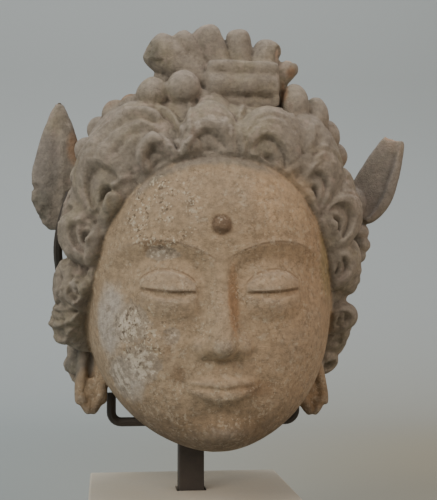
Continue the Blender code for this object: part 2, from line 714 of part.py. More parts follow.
def make_rod(name, points):
    """Round bar through points in metres."""
    curve = bpy.data.curves.new(name, "CURVE")
    curve.dimensions = "3D"
    curve.bevel_depth = ROD_DIAMETER / 2
    curve.bevel_resolution = 2
    curve.use_fill_caps = True
    spline = curve.splines.new("POLY")
    spline.points.add(len(points) - 1)
    for spot, point in zip(spline.points, points):
        spot.co = (*point, 1)
    place(name, curve, BLACKENED, 0.5, 0.9)


def bend(centre, start_turn, end_turn, radius, steps=6):
    """Points of a bend in the XZ plane round its centre."""
    points = []
    for k in range(steps + 1):
        turn = start_turn + (end_turn - start_turn) * k / steps
        points.append((centre[0] + radius * math.cos(turn), centre[1], centre[2] + radius * math.sin(turn)))
    return points


def make_cradle():
    """Crosspiece on the post's back face, its ends bent up beside the jaw."""
    left, _, low = carved((CRADLE_LEFT, 0, CRADLE_LOW))
    right, _, high = carved((CRADLE_RIGHT, 0, CRADLE_HIGH))
    points = [(left, ROUND_POST, high)]
    points += bend((left + CRADLE_BEND, ROUND_POST, low + CRADLE_BEND), math.pi, 1.5 * math.pi, CRADLE_BEND)
    points += bend((right - CRADLE_BEND, ROUND_POST, low + CRADLE_BEND), -0.5 * math.pi, 0.0, CRADLE_BEND)
    points += [(right, ROUND_POST, high)]
    make_rod("jaw_cradle", points)


def make_arm():
    """Arm from the post, below the neck, up behind the left side ornament."""
    foot_z = HEAD_ORIGIN[2] + ARM_FOOT * CARVER_MM
    places = [np.array((0, ROUND_POST, foot_z)), np.array((-POST_WIDTH / 4, 3 * ROUND_POST, foot_z))]
    for beside, depth, height in ARM_PLACES:
        places.append(carved((-flank(depth, height) - beside, depth, height)))
    make_rod("wing_arm", smooth_route(places))


def main():
    for item in list(bpy.data.objects):
        bpy.data.objects.remove(item)
    head = make_head()
    make_block()
    make_post()
    make_cradle()
    make_arm()
    bore_width = POST_WIDTH + 2 * BORE_CLEARANCE
    bore = box(bore_width, bore_width, post_top() - POST_IN_NECK - CUT_OVERRUN, post_top() + TOUCH_GAP)
    cut(head, new_object("neck_bore", bore, STUCCO, 1.0))


main()
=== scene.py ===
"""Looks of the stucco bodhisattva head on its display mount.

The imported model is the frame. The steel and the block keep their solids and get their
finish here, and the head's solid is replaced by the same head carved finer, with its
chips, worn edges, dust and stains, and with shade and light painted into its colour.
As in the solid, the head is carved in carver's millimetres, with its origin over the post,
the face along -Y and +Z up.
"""

import itertools
import math

import bmesh
import bpy
import numpy as np
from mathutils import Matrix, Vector


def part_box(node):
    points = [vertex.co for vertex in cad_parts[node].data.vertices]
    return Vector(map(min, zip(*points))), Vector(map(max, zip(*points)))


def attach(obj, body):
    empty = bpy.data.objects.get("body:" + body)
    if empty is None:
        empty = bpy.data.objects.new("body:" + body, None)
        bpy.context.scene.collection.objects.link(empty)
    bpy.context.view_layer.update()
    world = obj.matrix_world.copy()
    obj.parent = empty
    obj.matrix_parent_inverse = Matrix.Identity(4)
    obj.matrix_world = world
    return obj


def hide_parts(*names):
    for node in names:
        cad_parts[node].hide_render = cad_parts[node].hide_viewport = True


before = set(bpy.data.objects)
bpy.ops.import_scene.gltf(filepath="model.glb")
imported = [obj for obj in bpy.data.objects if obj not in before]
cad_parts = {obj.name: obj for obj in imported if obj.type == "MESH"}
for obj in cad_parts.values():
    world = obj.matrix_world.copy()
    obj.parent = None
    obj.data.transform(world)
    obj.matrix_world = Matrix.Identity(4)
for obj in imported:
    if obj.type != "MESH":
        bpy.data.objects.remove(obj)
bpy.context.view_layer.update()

# Places from the frame, in metres
BLOCK_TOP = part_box("plinth_block")[1].z
HEAD_LOW, HEAD_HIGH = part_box("head")
POST_LOW, POST_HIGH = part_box("support_post")

# Sizes of the solids, in metres
FACE_HEIGHT = 0.173
CHIN_CLEARANCE = 0.0315     # from the block's top to the chin
HEAD_SHIFT = 0.010          # of the face's middle, to the right of the post
BORE_CLEARANCE = 0.0008     # between the post and the bore, on each side
BORE_TOP_GAP = 0.0003       # over the post's end
DRILL_OVERRUN = 0.010       # of the drill below the neck
BOX_MARGIN = 0.00002        # kept inside the solid's box

# The head's proportions, in carver's millimetres
FACE = 173.0
CHIN_Z = -92.0
HAIRLINE_Z = CHIN_Z + FACE
THIRD = FACE / 3
BROW_Z = HAIRLINE_Z - THIRD
NOSE_Z = BROW_Z - THIRD
EYE_Z = 5.0
CHEEK_Z = 10.0
CROWN_Z = 118.0
EYE_SPACING = 30.0
EYE_HALF_WIDTH = 16.5
MOUTH_HALF_WIDTH = 22.5
SKULL_HALF_WIDTH = 79.0
FACE_FRONT = -88.0
SKULL_BACK = 85.0
NECK_Z = -73.0
NECK_RADIUS = 45.0
NECK_BACK = 15.0
STAR_Z = 5.0                # centre that the head's surface is drawn out from
HAIR_REACH = 108.0          # from that centre to the hair's ground
FORWARD_LEAN = 1.1          # of the locks over the hairline

CARVER_MM = FACE_HEIGHT / FACE
HEAD_ORIGIN = np.array((HEAD_SHIFT, 0.0, BLOCK_TOP + CHIN_CLEARANCE - CHIN_Z * CARVER_MM))

# Fineness of the carving
SHELL_LEVEL = 8
VOXEL = 0.00095
HEAD_FACES = 196000

# Front locks: clock angle round the face, distance out from the hairline,
# radius, rise, tilt of the arch and its hand
FRONT_LOCKS = (
    (-124, 21, 16, 14, 24, -1), (-93, 12, 15, 11, 18, -1),
    (-70, 18, 17.5, 11, -6, 1), (-47, 18, 22, 11, -26, -1), (-27, 7, 15, 8, 4, 1), (-3, 7, 17.5, 10, -4, -1),
    (21, 8, 20, 10, -8, 1), (44, 13, 18, 10, 8, 1), (63, 17, 19, 13, 10, -1), (81, 10, 17, 12, -10, 1),
    (103, 12, 15, 11, 14, -1), (122, 14, 14, 11, -14, 1),
)
# Larger waves behind them, without an eye
SECOND_LOCKS = (
    (-107, 14, 18, 11, 60, 1), (-120, 38, 19, 8, 24, 1), (-90, 34, 21, 8, -8, -1), (-63, 33, 20, 8, 12, 1),
    (-35, 28, 22, 8, 40, -1),
    (36, 30, 19, 7, 8, -1), (57, 33, 20, 9, -16, 1), (82, 33, 20, 8, 10, -1), (108, 35, 19, 8, 0, 1),
)
# Beads of the wreath: clock angle, radius, how tall for its width and lift
WREATH = (
    (-9.5, 10.6, 1, 0.6), (-18.0, 10.2, 1, 0.55), (-24.5, 7.2, 1, 0.4), (-29.5, 8.6, 1, 0.4),
    (-35.5, 8.2, 1, 0.3), (-42, 8.4, 1, 0.3), (-48.5, 8.0, 1, 0.3), (-54.5, 7.4, 1, 0.3),
    (24, 9.6, 1.4, 0.7), (31, 9.0, 1.4, 0.7), (37.5, 8.6, 1.2, 0.5), (43.5, 8.4, 1.1, 0.35),
    (50, 8.4, 1, 0.3), (57, 7.8, 1, 0.3), (64, 7.4, 1, 0.3),
)
# Petals of the topknot: tip across, tip height and radius
PETALS = (
    (-29, 145.8, 12.6), (-18, 152.4, 8.6), (-3.2, 154.2, 10.2),
    (15.4, 154, 8.4), (32, 147, 9.4), (44.8, 138.6, 6.9),
)
# Rolls of the clasp: height, depth, radius and ends
CLASP_ROLLS = (
    (137.4, -59.8, 4.2, -5, 38), (126.8, -58.6, 7.4, -5, 38), (116.4, -59.4, 3.6, -2, 36),
)
# Single strands over the locks, and grooves where the rise is below 0: half-width,
# rise and the places that each passes, as clock angle and distance out from the hairline
STRANDS = (
    (3.4, 3.8, ((-31, 4), (-30, 11), (-25.5, 14), (-21.5, 9), (-18, 3.4), (-14, 2), (-9.5, 4.5))),
    (2.0, 2.8, ((-28, 28), (-21, 22), (-17, 15.5), (-14.8, 8), (-13, 1))),
    (1.9, 2.8, ((-21, 30), (-15.5, 22), (-13, 13), (-12.2, 4))),
    (1.7, 2.2, ((-9, 25), (-9.8, 15), (-10.4, 8), (-10.8, 2))),
    (1.3, -1.6, ((-38, 19.5), (-31.5, 20.5), (-26, 19.5), (-23.4, 16.7), (-21.4, 11), (-20.2, 3))),
    (1.2, -1.3, ((-45, 24), (-36, 26), (-28, 25), (-22.5, 21))),
    (1.2, -1.2, ((-49, 29), (-40, 32), (-31, 31.5))),
    (2.2, 1.6, ((-37, 4.4), (-41.8, 8), (-46.3, 10), (-51, 8), (-55, 4))),
    (4.6, 3.0, ((-50, 4), (-58, 4.2), (-68, 4.8), (-79, 5), (-90, 5), (-104, 5.5))),
    (2.4, 1.7, ((-57, 13), (-61, 18), (-68, 18), (-73, 13), (-70, 8))),
    (2.4, 1.8, ((-76, 21), (-81, 19), (-86, 13), (-83, 8))),
    (2.4, 2.4, ((-98, 24), (-99, 14), (-96, 7))),
    (2.4, 2.4, ((-103.5, 26), (-105, 15), (-102, 7))),
    (2.4, 2.2, ((-109, 26), (-111, 16), (-108, 8))),
    (1.5, 1.0, ((14, 1.2), (24, 1.2), (36, 1.4), (48, 1.2), (60, 1.4))),
    (1.7, 2.4, ((8.5, 26), (8, 17), (8.4, 8), (10, 2))),
    (1.0, -1.1, ((11.6, 10), (14.3, 17), (18.2, 20.5), (22.8, 21.2), (27, 19))),
    (1.0, -1.1, ((9.6, 15), (12.5, 21.2), (17.4, 25.8), (24, 27), (30, 25))),
    (2.6, 1.3, ((32, 28), (33.5, 18), (33, 9), (31, 3))),
    (2.2, 1.0, ((37, 28), (38, 19), (37, 11))),
    (1.1, -1.2, ((36, 18), (40, 25), (47, 27), (53, 21))),
    (1.9, -2.0, ((-57, 32), (-63, 38), (-71, 39), (-78, 34), (-82, 26))),
    (1.9, -1.9, ((-60, 27), (-65, 33), (-72, 33), (-78, 27), (-82, 19), (-88, 17))),
    (1.9, -2.0, ((-83, 32), (-87, 25), (-94, 24), (-99, 28), (-104, 33))),
    (1.7, -1.8, ((-85, 19), (-91, 20), (-96, 17), (-99, 10))),
    (1.1, -1.2, ((55, 22), (60, 30), (69, 29), (74, 20))),
    (1.1, -1.2, ((75, 16), (79, 24), (87, 24), (91, 17))),
)
# Small curls behind the right ear: distance out from the bare head's side there,
# depth and height, and half-widths
CURLS = (
    ((26.5, 12, 43), (8.5, 8, 7)), ((26.5, 11, 34.5), (8, 8, 6)), ((23, 10, 27), (7.5, 7, 5.5)),
)
# Lumps left by the hand's work and by weather: height, distance apart and salt
HAIR_LUMPS = ((0.50, 9, 0), (0.24, 4.2, 1), (0.10, 2.1, 2))
SKIN_LUMPS = ((0.16, 11, 3), (0.05, 3, 4))
# Knocks: place, reach each way, depth, and 1 where the break is fresh and pale
KNOCKS = (
    ((-43, -54, 149), (7, 13, 8), 1.5, 0), ((-36, -62, 139), (8, 9, 5), 1.0, 0),
    ((41, -56, 147), (7, 10, 8), 1.2, 1), ((47, -50, 146), (9, 13, 5), 1.6, 1),
    ((43, -66, 113), (6, 9, 6), 1.2, 0), ((-3, -84, 103), (12, 12, 4), 0.8, 0),
    ((-109, 8, 56), (10, 14, 12), 2.0, 0), ((-112, 10, 71), (6, 12, 3.5), 1.4, 0),
    ((-95, 10, 128), (6, 9, 4), 1.2, 0), ((130, 10, 107), (12, 13, 4), 1.0, 1),
    ((-88, -8, -18), (9, 12, 9), 1.6, 0), ((84, -16, -30), (8, 12, 9), 1.4, 0),
    ((-78, -4, -68), (5, 7, 4), 1.0, 0), ((74, -4, -70), (6, 7, 4), 1.0, 0),
)
# Patches of chalky loss, paler worn hair, greyed and browned skin, ochre stains with painted shadow beside
# the nose, olive, a painted highlight on the right forehead, the forehead's mark, darker patches, cooler grey
# and specks: place and reach each way
PATCHES = {
    "chalk": (
        ((-48, -73, -16), (22, 20, 19)), ((-44, -77, -38), (21, 20, 17)), ((-57, -64, -48), (14, 18, 18)),
        ((-28, -84, -22), (9, 12, 9)), ((-78, -20, 3), (9, 14, 16)), ((-36, -86, 24), (17, 14, 7)),
    ),
    "pale": (
        ((-13, -81, 97), (4, 9, 6)), ((-6, -80, 102.5), (6, 10, 3.4)), ((2, -80, 102), (5, 10, 3.6)),
        ((6, -82, 96), (3.4, 9, 6)), ((-25, -80, 87), (13, 12, 7)), ((-84, -42, 6), (5, 9, 6)),
    ),
    "grey": (((-50, -66, -46), (26, 24, 22)), ((-60, -60, -14), (22, 24, 34))),
    "brown": (
        ((-30, -82, -30), (10, 14, 13)), ((-24, -84, -44), (10, 14, 9)), ((-38, -84, 28), (12, 12, 7)),
        ((14, -88, -52), (30, 16, 9)),
    ),
    "ochre_stain_and_nose_shadow": (
        # The first is an ochre stain down the right of the nose, partly painted shadow of the nose
        ((6.5, -96, -2), (6, 20, 34)), ((-60, -45, 113), (12, 14, 9)), ((-52, -50, 119), (9, 12, 8)),
        ((88, -40, 85), (10, 14, 12)), ((-86, 8, 97), (8, 12, 20)),
        ((48, -56, 136), (7, 10, 7)), ((42, -56, 124), (4, 10, 12)),
    ),
    "olive": (((68, -50, 26), (15, 24, 46)),),
    # Painted highlight: a paler, warmer patch on the right of the forehead
    "painted_highlight_forehead": (((36, -78, 56), (34, 26, 28)),),
    "forehead_mark": (((0, -94, 40.3), (9, 12, 9)),),
    "dark": (
        ((-41, -56, 147), (16, 18, 16)), ((-107, 8, 58), (12, 14, 22)), ((-86, 2, -46), (13, 22, 24)),
        ((96, 4, 36), (18, 18, 14)), ((88, 0, -20), (12, 18, 24)), ((88, 4, 34), (12, 12, 16)),
    ),
    "cool": (((116, 8, 80), (26, 22, 38)), ((-104, 8, 84), (14, 18, 34))),
    "specks": (
        ((-36, -84, 48), (36, 24, 32)), ((-44, -78, -20), (28, 24, 30)),
    ),
}


# Profiles

def step(low, high, value):
    """Smooth rise from 0 at low to 1 at high."""
    share = np.clip((value - low) / (high - low), 0, 1)
    return share * share * (3 - 2 * share)


def bump(distance, width):
    return np.exp(-(distance / width) ** 2)


def dome(share, power=2.0):
    """1 in the middle, round down to 0 where share reaches 1."""
    return (1 - np.clip(np.abs(share), 0, 1) ** power) ** (1 / power)


def mound(share, fullness=1.3):
    """1 in the middle, running out smoothly where share reaches 1."""
    return (1 - np.clip(np.abs(share), 0, 1) ** 2) ** fullness


def joined(one, other, blend):
    """The higher of two forms, with the join filled as wet stucco fills it."""
    share = np.clip(0.5 + 0.5 * (one - other) / blend, 0, 1)
    return other + (one - other) * share + blend * share * (1 - share)


def scattered(cells, salt):
    """A fixed number from 0 to 1 for each cell of a lattice."""
    mixed = cells[:, 0] * 73856093 + cells[:, 1] * 19349663 + cells[:, 2] * 83492791 + salt * 7919
    mixed = (mixed ^ (mixed >> 13)) * 1274126177
    return ((mixed ^ (mixed >> 16)) & 0xFFFFF) / 0xFFFFF


def lumps(points, size, salt=0):
    """Uneven hand-worked surface, from -1 to 1, with lumps about size millimetres apart."""
    spots = points / size
    corner = np.floor(spots).astype(np.int64)
    share = spots - corner
    share = share * share * (3 - 2 * share)
    height = np.zeros(len(points))
    for offset in itertools.product((0, 1), repeat=3):
        weight = np.prod(np.where(offset, share, 1 - share), axis=1)
        height += weight * scattered(corner + offset, salt)
    return 2 * height - 1


def pits(points, size, radius, salt=0):
    """Round pits scattered about size millimetres apart: 1 in the middle, 0 outside."""
    spots = points / size
    corner = np.floor(spots).astype(np.int64)
    depth = np.zeros(len(points))
    for offset in itertools.product((-1, 0, 1), repeat=3):
        cell = corner + offset
        middle = np.stack([scattered(cell, salt + k) for k in range(3)], axis=1) + cell
        share = np.linalg.norm(spots - middle, axis=1) * size / (radius * (0.5 + scattered(cell, salt + 3)))
        depth = np.maximum(depth, dome(share))
    return depth


# The bare head

def section(z):
    """Half-width, middle and half-depths of the head's section at a height."""
    up = np.clip((z - CHEEK_Z) / (CROWN_Z - CHEEK_Z), 0, 1)
    down = np.clip((CHEEK_Z - z) / (CHEEK_Z - CHIN_Z), 0, 1)
    half_width = SKULL_HALF_WIDTH * dome(up, 2.3) * (1 - down ** 2.5) ** 0.54
    middle = 8 - 40 * down ** 1.6 - 4 * up
    front = (middle - FACE_FRONT) * dome(up, 3) * (1 - down ** 14) ** (1 / 3)
    back = SKULL_BACK - 115 * down ** 1.9 - middle
    back = np.where(up > 0, (SKULL_BACK - middle) * dome(up, 2.3), back) * (1 - down ** 10) ** 0.5
    return half_width, middle, front, back


def flank(depth, height):
    """Half-width of the bare head at a depth and a height."""
    half_width, middle, front, back = section(height)
    share = abs(depth - middle) / (front if depth < middle else back)
    return float(half_width * (1 - min(share, 1) ** 2.5) ** 0.4)


def inside(points):
    """True inside the bare head."""
    x, y, z = points.T
    half_width, middle, front, back = section(z)
    depth = np.where(y < middle, front, back)
    size = np.abs(x) / np.maximum(half_width, 0.01)
    size = size ** 2.5 + (np.abs(y - middle) / np.maximum(depth, 0.01)) ** 2.5
    return (size < 1) & (z < CROWN_Z) & (z > CHIN_Z)


def bare_radius(directions):
    """Distance from the star centre to the bare head's surface, found by halving."""
    near = np.full(len(directions), 5.0)
    far = np.full(len(directions), 190.0)
    for _ in range(22):
        middle = (near + far) / 2
        within = inside(directions * middle[:, None] + (0, 0, STAR_Z))
        near = np.where(within, middle, near)
        far = np.where(within, far, middle)
    return near


# The face, to its own calm and regular canon

def brow_line(side):
    return BROW_Z + 8 - 13 * ((side - 36) / 36) ** 2


def brow_relief(x, z):
    """Brow drawn as one fine ridge over a shallow eye socket."""
    side = np.abs(x)
    above = z - brow_line(side)
    span = step(3, 14, side) * (1 - step(54, 70, side))
    socket = -3.8 * (1 - step(-12, 0.4, above)) * step(-40, -14, above)
    ridge = 0.8 * bump(above - 0.3, 1.7)
    return (socket + ridge) * span


def lid_lines(side):
    """The eye's level, the lids' arch, and the heights of the upper lid's edge, the lower
    lid's edge and the fold above."""
    across = (side - EYE_SPACING) / EYE_HALF_WIDTH
    arch = np.clip(1 - across ** 2, 0, 1)
    level = EYE_Z + 1.2 * across
    upper, lower = level - 1.6 - 0.9 * arch, level - 2.0 - 4.6 * arch ** 0.8
    return level, arch, upper, lower, level + 1.2 + 8.4 * arch ** 0.7


def eye_relief(x, z):
    """Lowered lids over a full eyeball, with a narrow opening."""
    side = np.abs(x)
    level, arch, upper_edge, lower_edge, fold = lid_lines(side)
    ball = 6.0 * mound(np.hypot((side - EYE_SPACING) / 25, (z - level + 1) / 19), 1.3)
    lid = 1.8 * step(-0.4, 0.4, z - upper_edge) * (1 - step(-1.4, 1.0, z - fold))
    lower_lid = 0.9 * (1 - step(-0.4, 0.5, z - lower_edge)) * step(-26, -8, z - level)
    opening = -0.9 * step(-0.3, 0.5, z - lower_edge) * (1 - step(-0.4, 0.4, z - upper_edge))
    crease = -0.9 * bump(z - fold - 0.8, 1.1)
    return ball + (lid + lower_lid + opening + crease) * step(0, 0.18, arch)


def nose_relief(x, z):
    side = np.abs(x)
    top, tip = BROW_Z - 4, NOSE_Z + 8
    along = np.clip((top - z) / (top - tip), 0, 1)
    under = dome(np.clip((tip - z) / (tip - NOSE_Z + 1.5), 0, 1), 2.2)
    bridge = (2.6 + 13.6 * along ** 1.3) * np.exp(-(side / (5.8 + 4.2 * along)) ** 2.4)
    bridge *= (1 - step(top - 6, top + 15, z)) * under
    wing = np.hypot((side - 9.6) / 9.2, (z - NOSE_Z - 6.0) / 7.6)
    form = joined(bridge, 7.2 * mound(wing, 1.0), 4.5)
    wing_crease = -0.5 * bump(wing - 0.98, 0.16) * step(10, 13, side) * step(-1, 4, z - NOSE_Z)
    nostrils = -3.4 * bump(np.hypot((side - 5.6) / 3.0, (z - NOSE_Z - 0.8) / 1.7), 1.0)
    return form + wing_crease + nostrils


def mouth_relief(x, z):
    side = np.abs(x)
    reach = np.clip(side / MOUTH_HALF_WIDTH, 0, 1)
    line = NOSE_Z - 17.5 + 2.6 * reach ** 2.4 - 0.8 * bump(x, 5)
    width = 1 - reach ** 2
    upper_edge = line + 0.6 + 6.6 * width ** 0.9 - 1.5 * bump(x, 3.6)
    lower_edge = line - 0.8 - 9.2 * width ** 0.75
    rise = np.clip((z - line) / (upper_edge - line), 0, 1)
    fall = np.clip((line - z) / (line - lower_edge), 0, 1)
    ends = step(0, 0.4, width) * width ** 0.4
    around = 5.2 * bump(x, 24) * bump(z - line, 18)
    upper = 2.4 * (0.75 + 0.45 * np.sin(math.pi * rise ** 0.65)) * (1 - step(0.60, 1.15, rise)) * (z > line)
    lower = 2.7 * (0.70 + 0.56 * np.sin(math.pi * fall ** 0.75)) * (1 - step(0.5, 1.2, fall)) * (z <= line)
    slit = -1.6 * bump(z - line, 0.9)
    corners = -1.4 * bump(np.hypot((side - MOUTH_HALF_WIDTH - 0.5) / 5.5, (z - line) / 4.2), 1.0)
    channel = (0.5 * bump(side - 5.2, 2.4) - 0.8 * bump(x, 3.4)) * step(upper_edge - 1, upper_edge + 3, z)
    channel *= 1 - step(NOSE_Z - 5, NOSE_Z - 1, z)
    return around + (upper + lower + slit) * ends + corners + channel


def face_relief(x, z):
    """How far the face stands out in front of the bare head."""
    side = np.abs(x)
    forehead = 3 * bump(z - BROW_Z - 27, 34) * bump(x, 46)
    cheek = 4.4 * bump(side - 40, 24) * bump(z - NOSE_Z - 12, 24)
    fold = -0.6 * bump(side - 22 + 0.5 * (z - NOSE_Z + 6), 4.0) * bump(z - NOSE_Z + 7, 9)
    under_lip = -2.2 * bump(x, 16) * bump(z - NOSE_Z + 33.5, 5.6)
    chin = 5.2 * bump(x, 15) * bump(z - CHIN_Z - 13, 10)
    from_mark = np.hypot(x, z - BROW_Z - 17)
    mark = 2.4 * dome(from_mark / 4.4) - 0.35 * bump(from_mark - 5.4, 1.2)
    return (forehead + cheek + fold + under_lip + chin + mark
            + brow_relief(x, z) + nose_relief(x, z) + eye_relief(x, z) + mouth_relief(x, z))


# The hair, drawn round the face by clock angle and by distance out from the hairline

def hairline(clock):
    """Angle from the face's axis at which the hair starts."""
    side = np.abs(clock)
    return 44 + 15 * (np.minimum(side, 90) / 90) ** 2 + 0.95 * np.clip(side - 90, 0, 66)


def hair_frame(directions):
    """Clock angle, angle from the face's axis and distance out from the hairline."""
    x, y, z = directions.T
    clock = np.degrees(np.arctan2(x, z))
    angle = np.degrees(np.arctan2(np.hypot(x, z), -y))
    return clock, angle, np.radians(angle - hairline(clock)) * HAIR_REACH


def lock_axes(across, out, tilt, hand):
    lean = math.radians(tilt)
    return (hand * (across * math.cos(lean) + out * math.sin(lean)),
            out * math.cos(lean) - across * math.sin(lean))


def arch_lock(across, out, radius, rise, tilt, hand):
    """A lock bent in an arch over a smaller one, whose eye is a drilled slit."""
    a, b = lock_axes(across, out, tilt, hand)
    reach = np.hypot(a, b * 0.86) / radius
    arch = rise * dome(reach, 2.3)
    nest_a, nest_b = a - 0.06 * radius, 1.02 * b + 0.38 * radius
    nest = np.hypot(nest_a, nest_b) / (0.55 * radius)
    lip = 1 - step(1.3, 1.9, np.abs(np.arctan2(nest_a, nest_b) - 0.2))
    inner = np.minimum(arch, rise * (0.36 + 0.38 * dome(nest, 2.4)))
    within = (1 - step(0.98, 1.07, nest)) * (0.2 + 0.8 * lip)
    strands = step(0.5, 1, np.cos((nest - 1.25) * 2 * math.pi / 0.3)) * step(1.1, 1.3, nest)
    strands = -0.085 * rise * strands * (1 - step(0.8, 0.98, reach)) * lip
    groove = -0.14 * rise * bump(nest - 1.04, 0.07) * lip
    slit_a, slit_b = (a - 0.06 * radius) / (0.28 * radius), (b + 0.27 * radius) / (0.085 * radius)
    slit = -0.75 * rise * bump(np.hypot(slit_a, slit_b + 1.6 * slit_a ** 2), 1.0)
    return arch + (inner - arch) * within + (strands + groove + slit) * (reach < 1)


def wave_lock(across, out, radius, rise, tilt, hand):
    """A broad wave of the second row, with faint strands."""
    a, b = lock_axes(across, out, tilt, hand)
    reach = np.hypot(a, b * 0.8) / radius
    bend = np.hypot(a - 0.5 * radius, b + 0.4 * radius) / radius
    strands = 0.085 * rise * step(0.2, 1, np.cos(bend * 2 * math.pi * 3.2)) * (1 - step(0.7, 0.95, reach))
    return rise * dome(reach, 2.4) - strands


def smooth_route(places, steps=5):
    """Points on a smooth curve through the places."""
    places = np.array(places, float)
    padded = [2 * places[0] - places[1], *places, 2 * places[-1] - places[-2]]
    route = []
    for p0, p1, p2, p3 in zip(padded, padded[1:], padded[2:], padded[3:]):
        for k in range(steps):
            t = k / steps
            route.append(0.5 * (2 * p1 + (p2 - p0) * t + (2 * p0 - 5 * p1 + 4 * p2 - p3) * t ** 2
                                + (3 * p1 - p0 - 3 * p2 + p3) * t ** 3))
    return np.array(route + [padded[-2]])


def single_strands(clock, out, degree):
    """Strands and grooves across the locks, each on a smooth curve through its places."""
    height = np.zeros_like(out)
    for width, rise, places in STRANDS:
        route = smooth_route(places)
        near = (clock > route[:, 0].min() - 9) & (clock < route[:, 0].max() + 9) & (out < 45)
        scale = degree[near]
        away = np.full(len(scale), 99.0)
        for start, end in zip(route, route[1:]):
            from_a, from_b = (clock[near] - start[0]) * scale, out[near] - start[1]
            along_a, along_b = (end[0] - start[0]) * scale, end[1] - start[1]
            share = np.clip((from_a * along_a + from_b * along_b) / (along_a ** 2 + along_b ** 2), 0, 1)
            away = np.minimum(away, np.hypot(from_a - share * along_a, from_b - share * along_b))
        height[near] += rise * (mound(away / width, 0.8) - 0.35 * bump(away / width - 1.25, 0.25))
    return height


def side_hair(clock, angle, out):
    """Front locks in a row round the face, with a second row behind them."""
    degree = math.radians(HAIR_REACH) * np.sin(np.radians(angle))
    height = np.zeros_like(out)
    for row, form in ((SECOND_LOCKS, wave_lock), (FRONT_LOCKS, arch_lock)):
        for place, start, *shape in row:
            near = np.abs(clock - place) < 40
            outward = np.radians(angle[near] - hairline(place)) * HAIR_REACH - start
            lock = form((clock[near] - place) * degree[near], outward, *shape)
            height[near] = joined(lock, height[near], 0.8)
    return height * (0.22 + 0.9 * step(-3, 12, out)) + single_strands(clock, out, degree)


def back_hair(points):
    """Plain strands combed down from the topknot."""
    x, y, z = points.T
    round_head = np.arctan2(x, y - 10)
    return 1.3 * np.cos(round_head * 46 + 1.4 * np.sin(z / 13))


def hair_ground(clock, out):
    """Thickness of the hair under its locks."""
    ground = 1.5 * step(-0.6, 0.9, out) + 9.5 * step(2, 30, out) - 2 * step(50, 80, out)
    shoulders = 7 * bump(np.abs(clock) - 36, 22) * step(14, 34, out) * (1 - step(60, 100, out))
    arm_hollow = 10 * bump(clock + 57, 14) * bump(out - 75, 22)
    clasp_hollow = 5 * bump(clock - 13, 13) * bump(out - 37, 9)
    return ground + shoulders - arm_hollow - clasp_hollow


def hair_height(directions, points):
    clock, angle, out = hair_frame(directions)
    reach = directions * HAIR_REACH
    clock = clock + 1.6 * lumps(reach, 17, 7)
    out = out + 1.8 * lumps(reach, 15, 8) * step(0, 8, out)
    locks = side_hair(clock, angle, out) * step(-0.6, 0.9, out)
    behind = step(48, 66, out)
    height = hair_ground(clock, out) + locks * (1 - behind) + back_hair(points) * behind
    return height * step(-66, -52, points[:, 2])


def shell_surface(directions):
    """Points of the head's skin and hair along directions from the star centre."""
    radius = bare_radius(directions)
    bare = directions * radius[:, None] + (0, 0, STAR_Z)
    _, _, out = hair_frame(directions)
    front = step(-28, -52, bare[:, 1]) * (1 - step(-3, 1, out))
    skin = bare.copy()
    skin[:, 1] -= face_relief(bare[:, 0], bare[:, 2]) * front
    growth = directions.copy()
    growth[:, 1] -= FORWARD_LEAN * (1 - step(4, 32, out))
    growth /= np.linalg.norm(growth, axis=1)[:, None]
    return skin + growth * hair_height(directions, bare)[:, None]


# Bodies that are modelled on to the head

def carved(points):
    """Carver's millimetres to metres in the part's frame."""
    return np.asarray(points, float) * CARVER_MM + HEAD_ORIGIN


def add_rings(target, rings):
    """Closed body through rings of points, with a flat face at each end."""
    rows = [[target.verts.new(point) for point in ring] for ring in rings]
    count = len(rows[0])
    for lower, upper in zip(rows, rows[1:]):
        for i in range(count):
            j = (i + 1) % count
            target.faces.new((lower[i], lower[j], upper[j], upper[i]))
    target.faces.new(rows[0][::-1])
    target.faces.new(rows[-1])


def add_sweep(target, start, end, stations, front=(0, -1, 0), sides=32, form=None, edge=1.0):
    """Body along a straight axis, with stations of share, half-width and half-depth.

    The form shares the depth of its front out across the width, and a small edge power
    makes it plate-like."""
    start, end = Vector(start), Vector(end)
    axis = (end - start).normalized()
    across = axis.cross(Vector(front)).normalized()
    facing = across.cross(axis)
    rings = []
    for share, width, depth in stations:
        middle = start.lerp(end, share)
        ring = []
        for k in range(sides):
            turn = 2 * math.pi * k / sides
            lift = math.copysign(abs(math.sin(turn)) ** edge, math.sin(turn)) * depth
            if form and lift > 0:
                lift *= form(math.cos(turn))
            ring.append(carved(middle + across * math.cos(turn) * width + facing * lift))
        rings.append(ring)
    add_rings(target, rings)


def finger(first, last, depth=1.0, roundness=3.0, count=19):
    """Stations of a bar with round ends that swells from first to last."""
    stations = []
    for k in range(count):
        share = 0.5 - 0.5 * math.cos(math.pi * (k + 0.35) / (count - 0.3))
        width = (first + (last - first) * share) * float(dome(2 * share - 1, roundness))
        stations.append((share, width, width * depth))
    return stations


def leaf(widest, low, count=26):
    """Stations of a leaf that is widest at the given share and pointed above."""
    stations = []
    for k in range(count):
        share = (k + 0.2) / (count - 0.6)
        rising = min(share / low, 1)
        falling = max(share - low, 0) / (1 - low)
        stations.append((share, widest * float(dome(1 - rising, 2)) * (1 - falling ** 1.7) + 1.6))
    return stations


def add_ball(target, centre, radii):
    ball = bmesh.ops.create_icosphere(target, subdivisions=4, radius=1.0)
    for vert in ball["verts"]:
        vert.co = Vector(carved([centre[i] + vert.co[i] * radii[i] for i in range(3)]))


def add_shell(target):
    shell = bmesh.new()
    bmesh.ops.create_icosphere(shell, subdivisions=SHELL_LEVEL, radius=1.0)
    mesh = bpy.data.meshes.new("shell")
    shell.to_mesh(mesh)
    shell.free()
    directions = vertex_values(mesh.vertices, "co", 3)
    directions /= np.linalg.norm(directions, axis=1)[:, None]
    mesh.vertices.foreach_set("co", carved(shell_surface(directions)).astype(np.float32).ravel())
    target.from_mesh(mesh)
    bpy.data.meshes.remove(mesh)


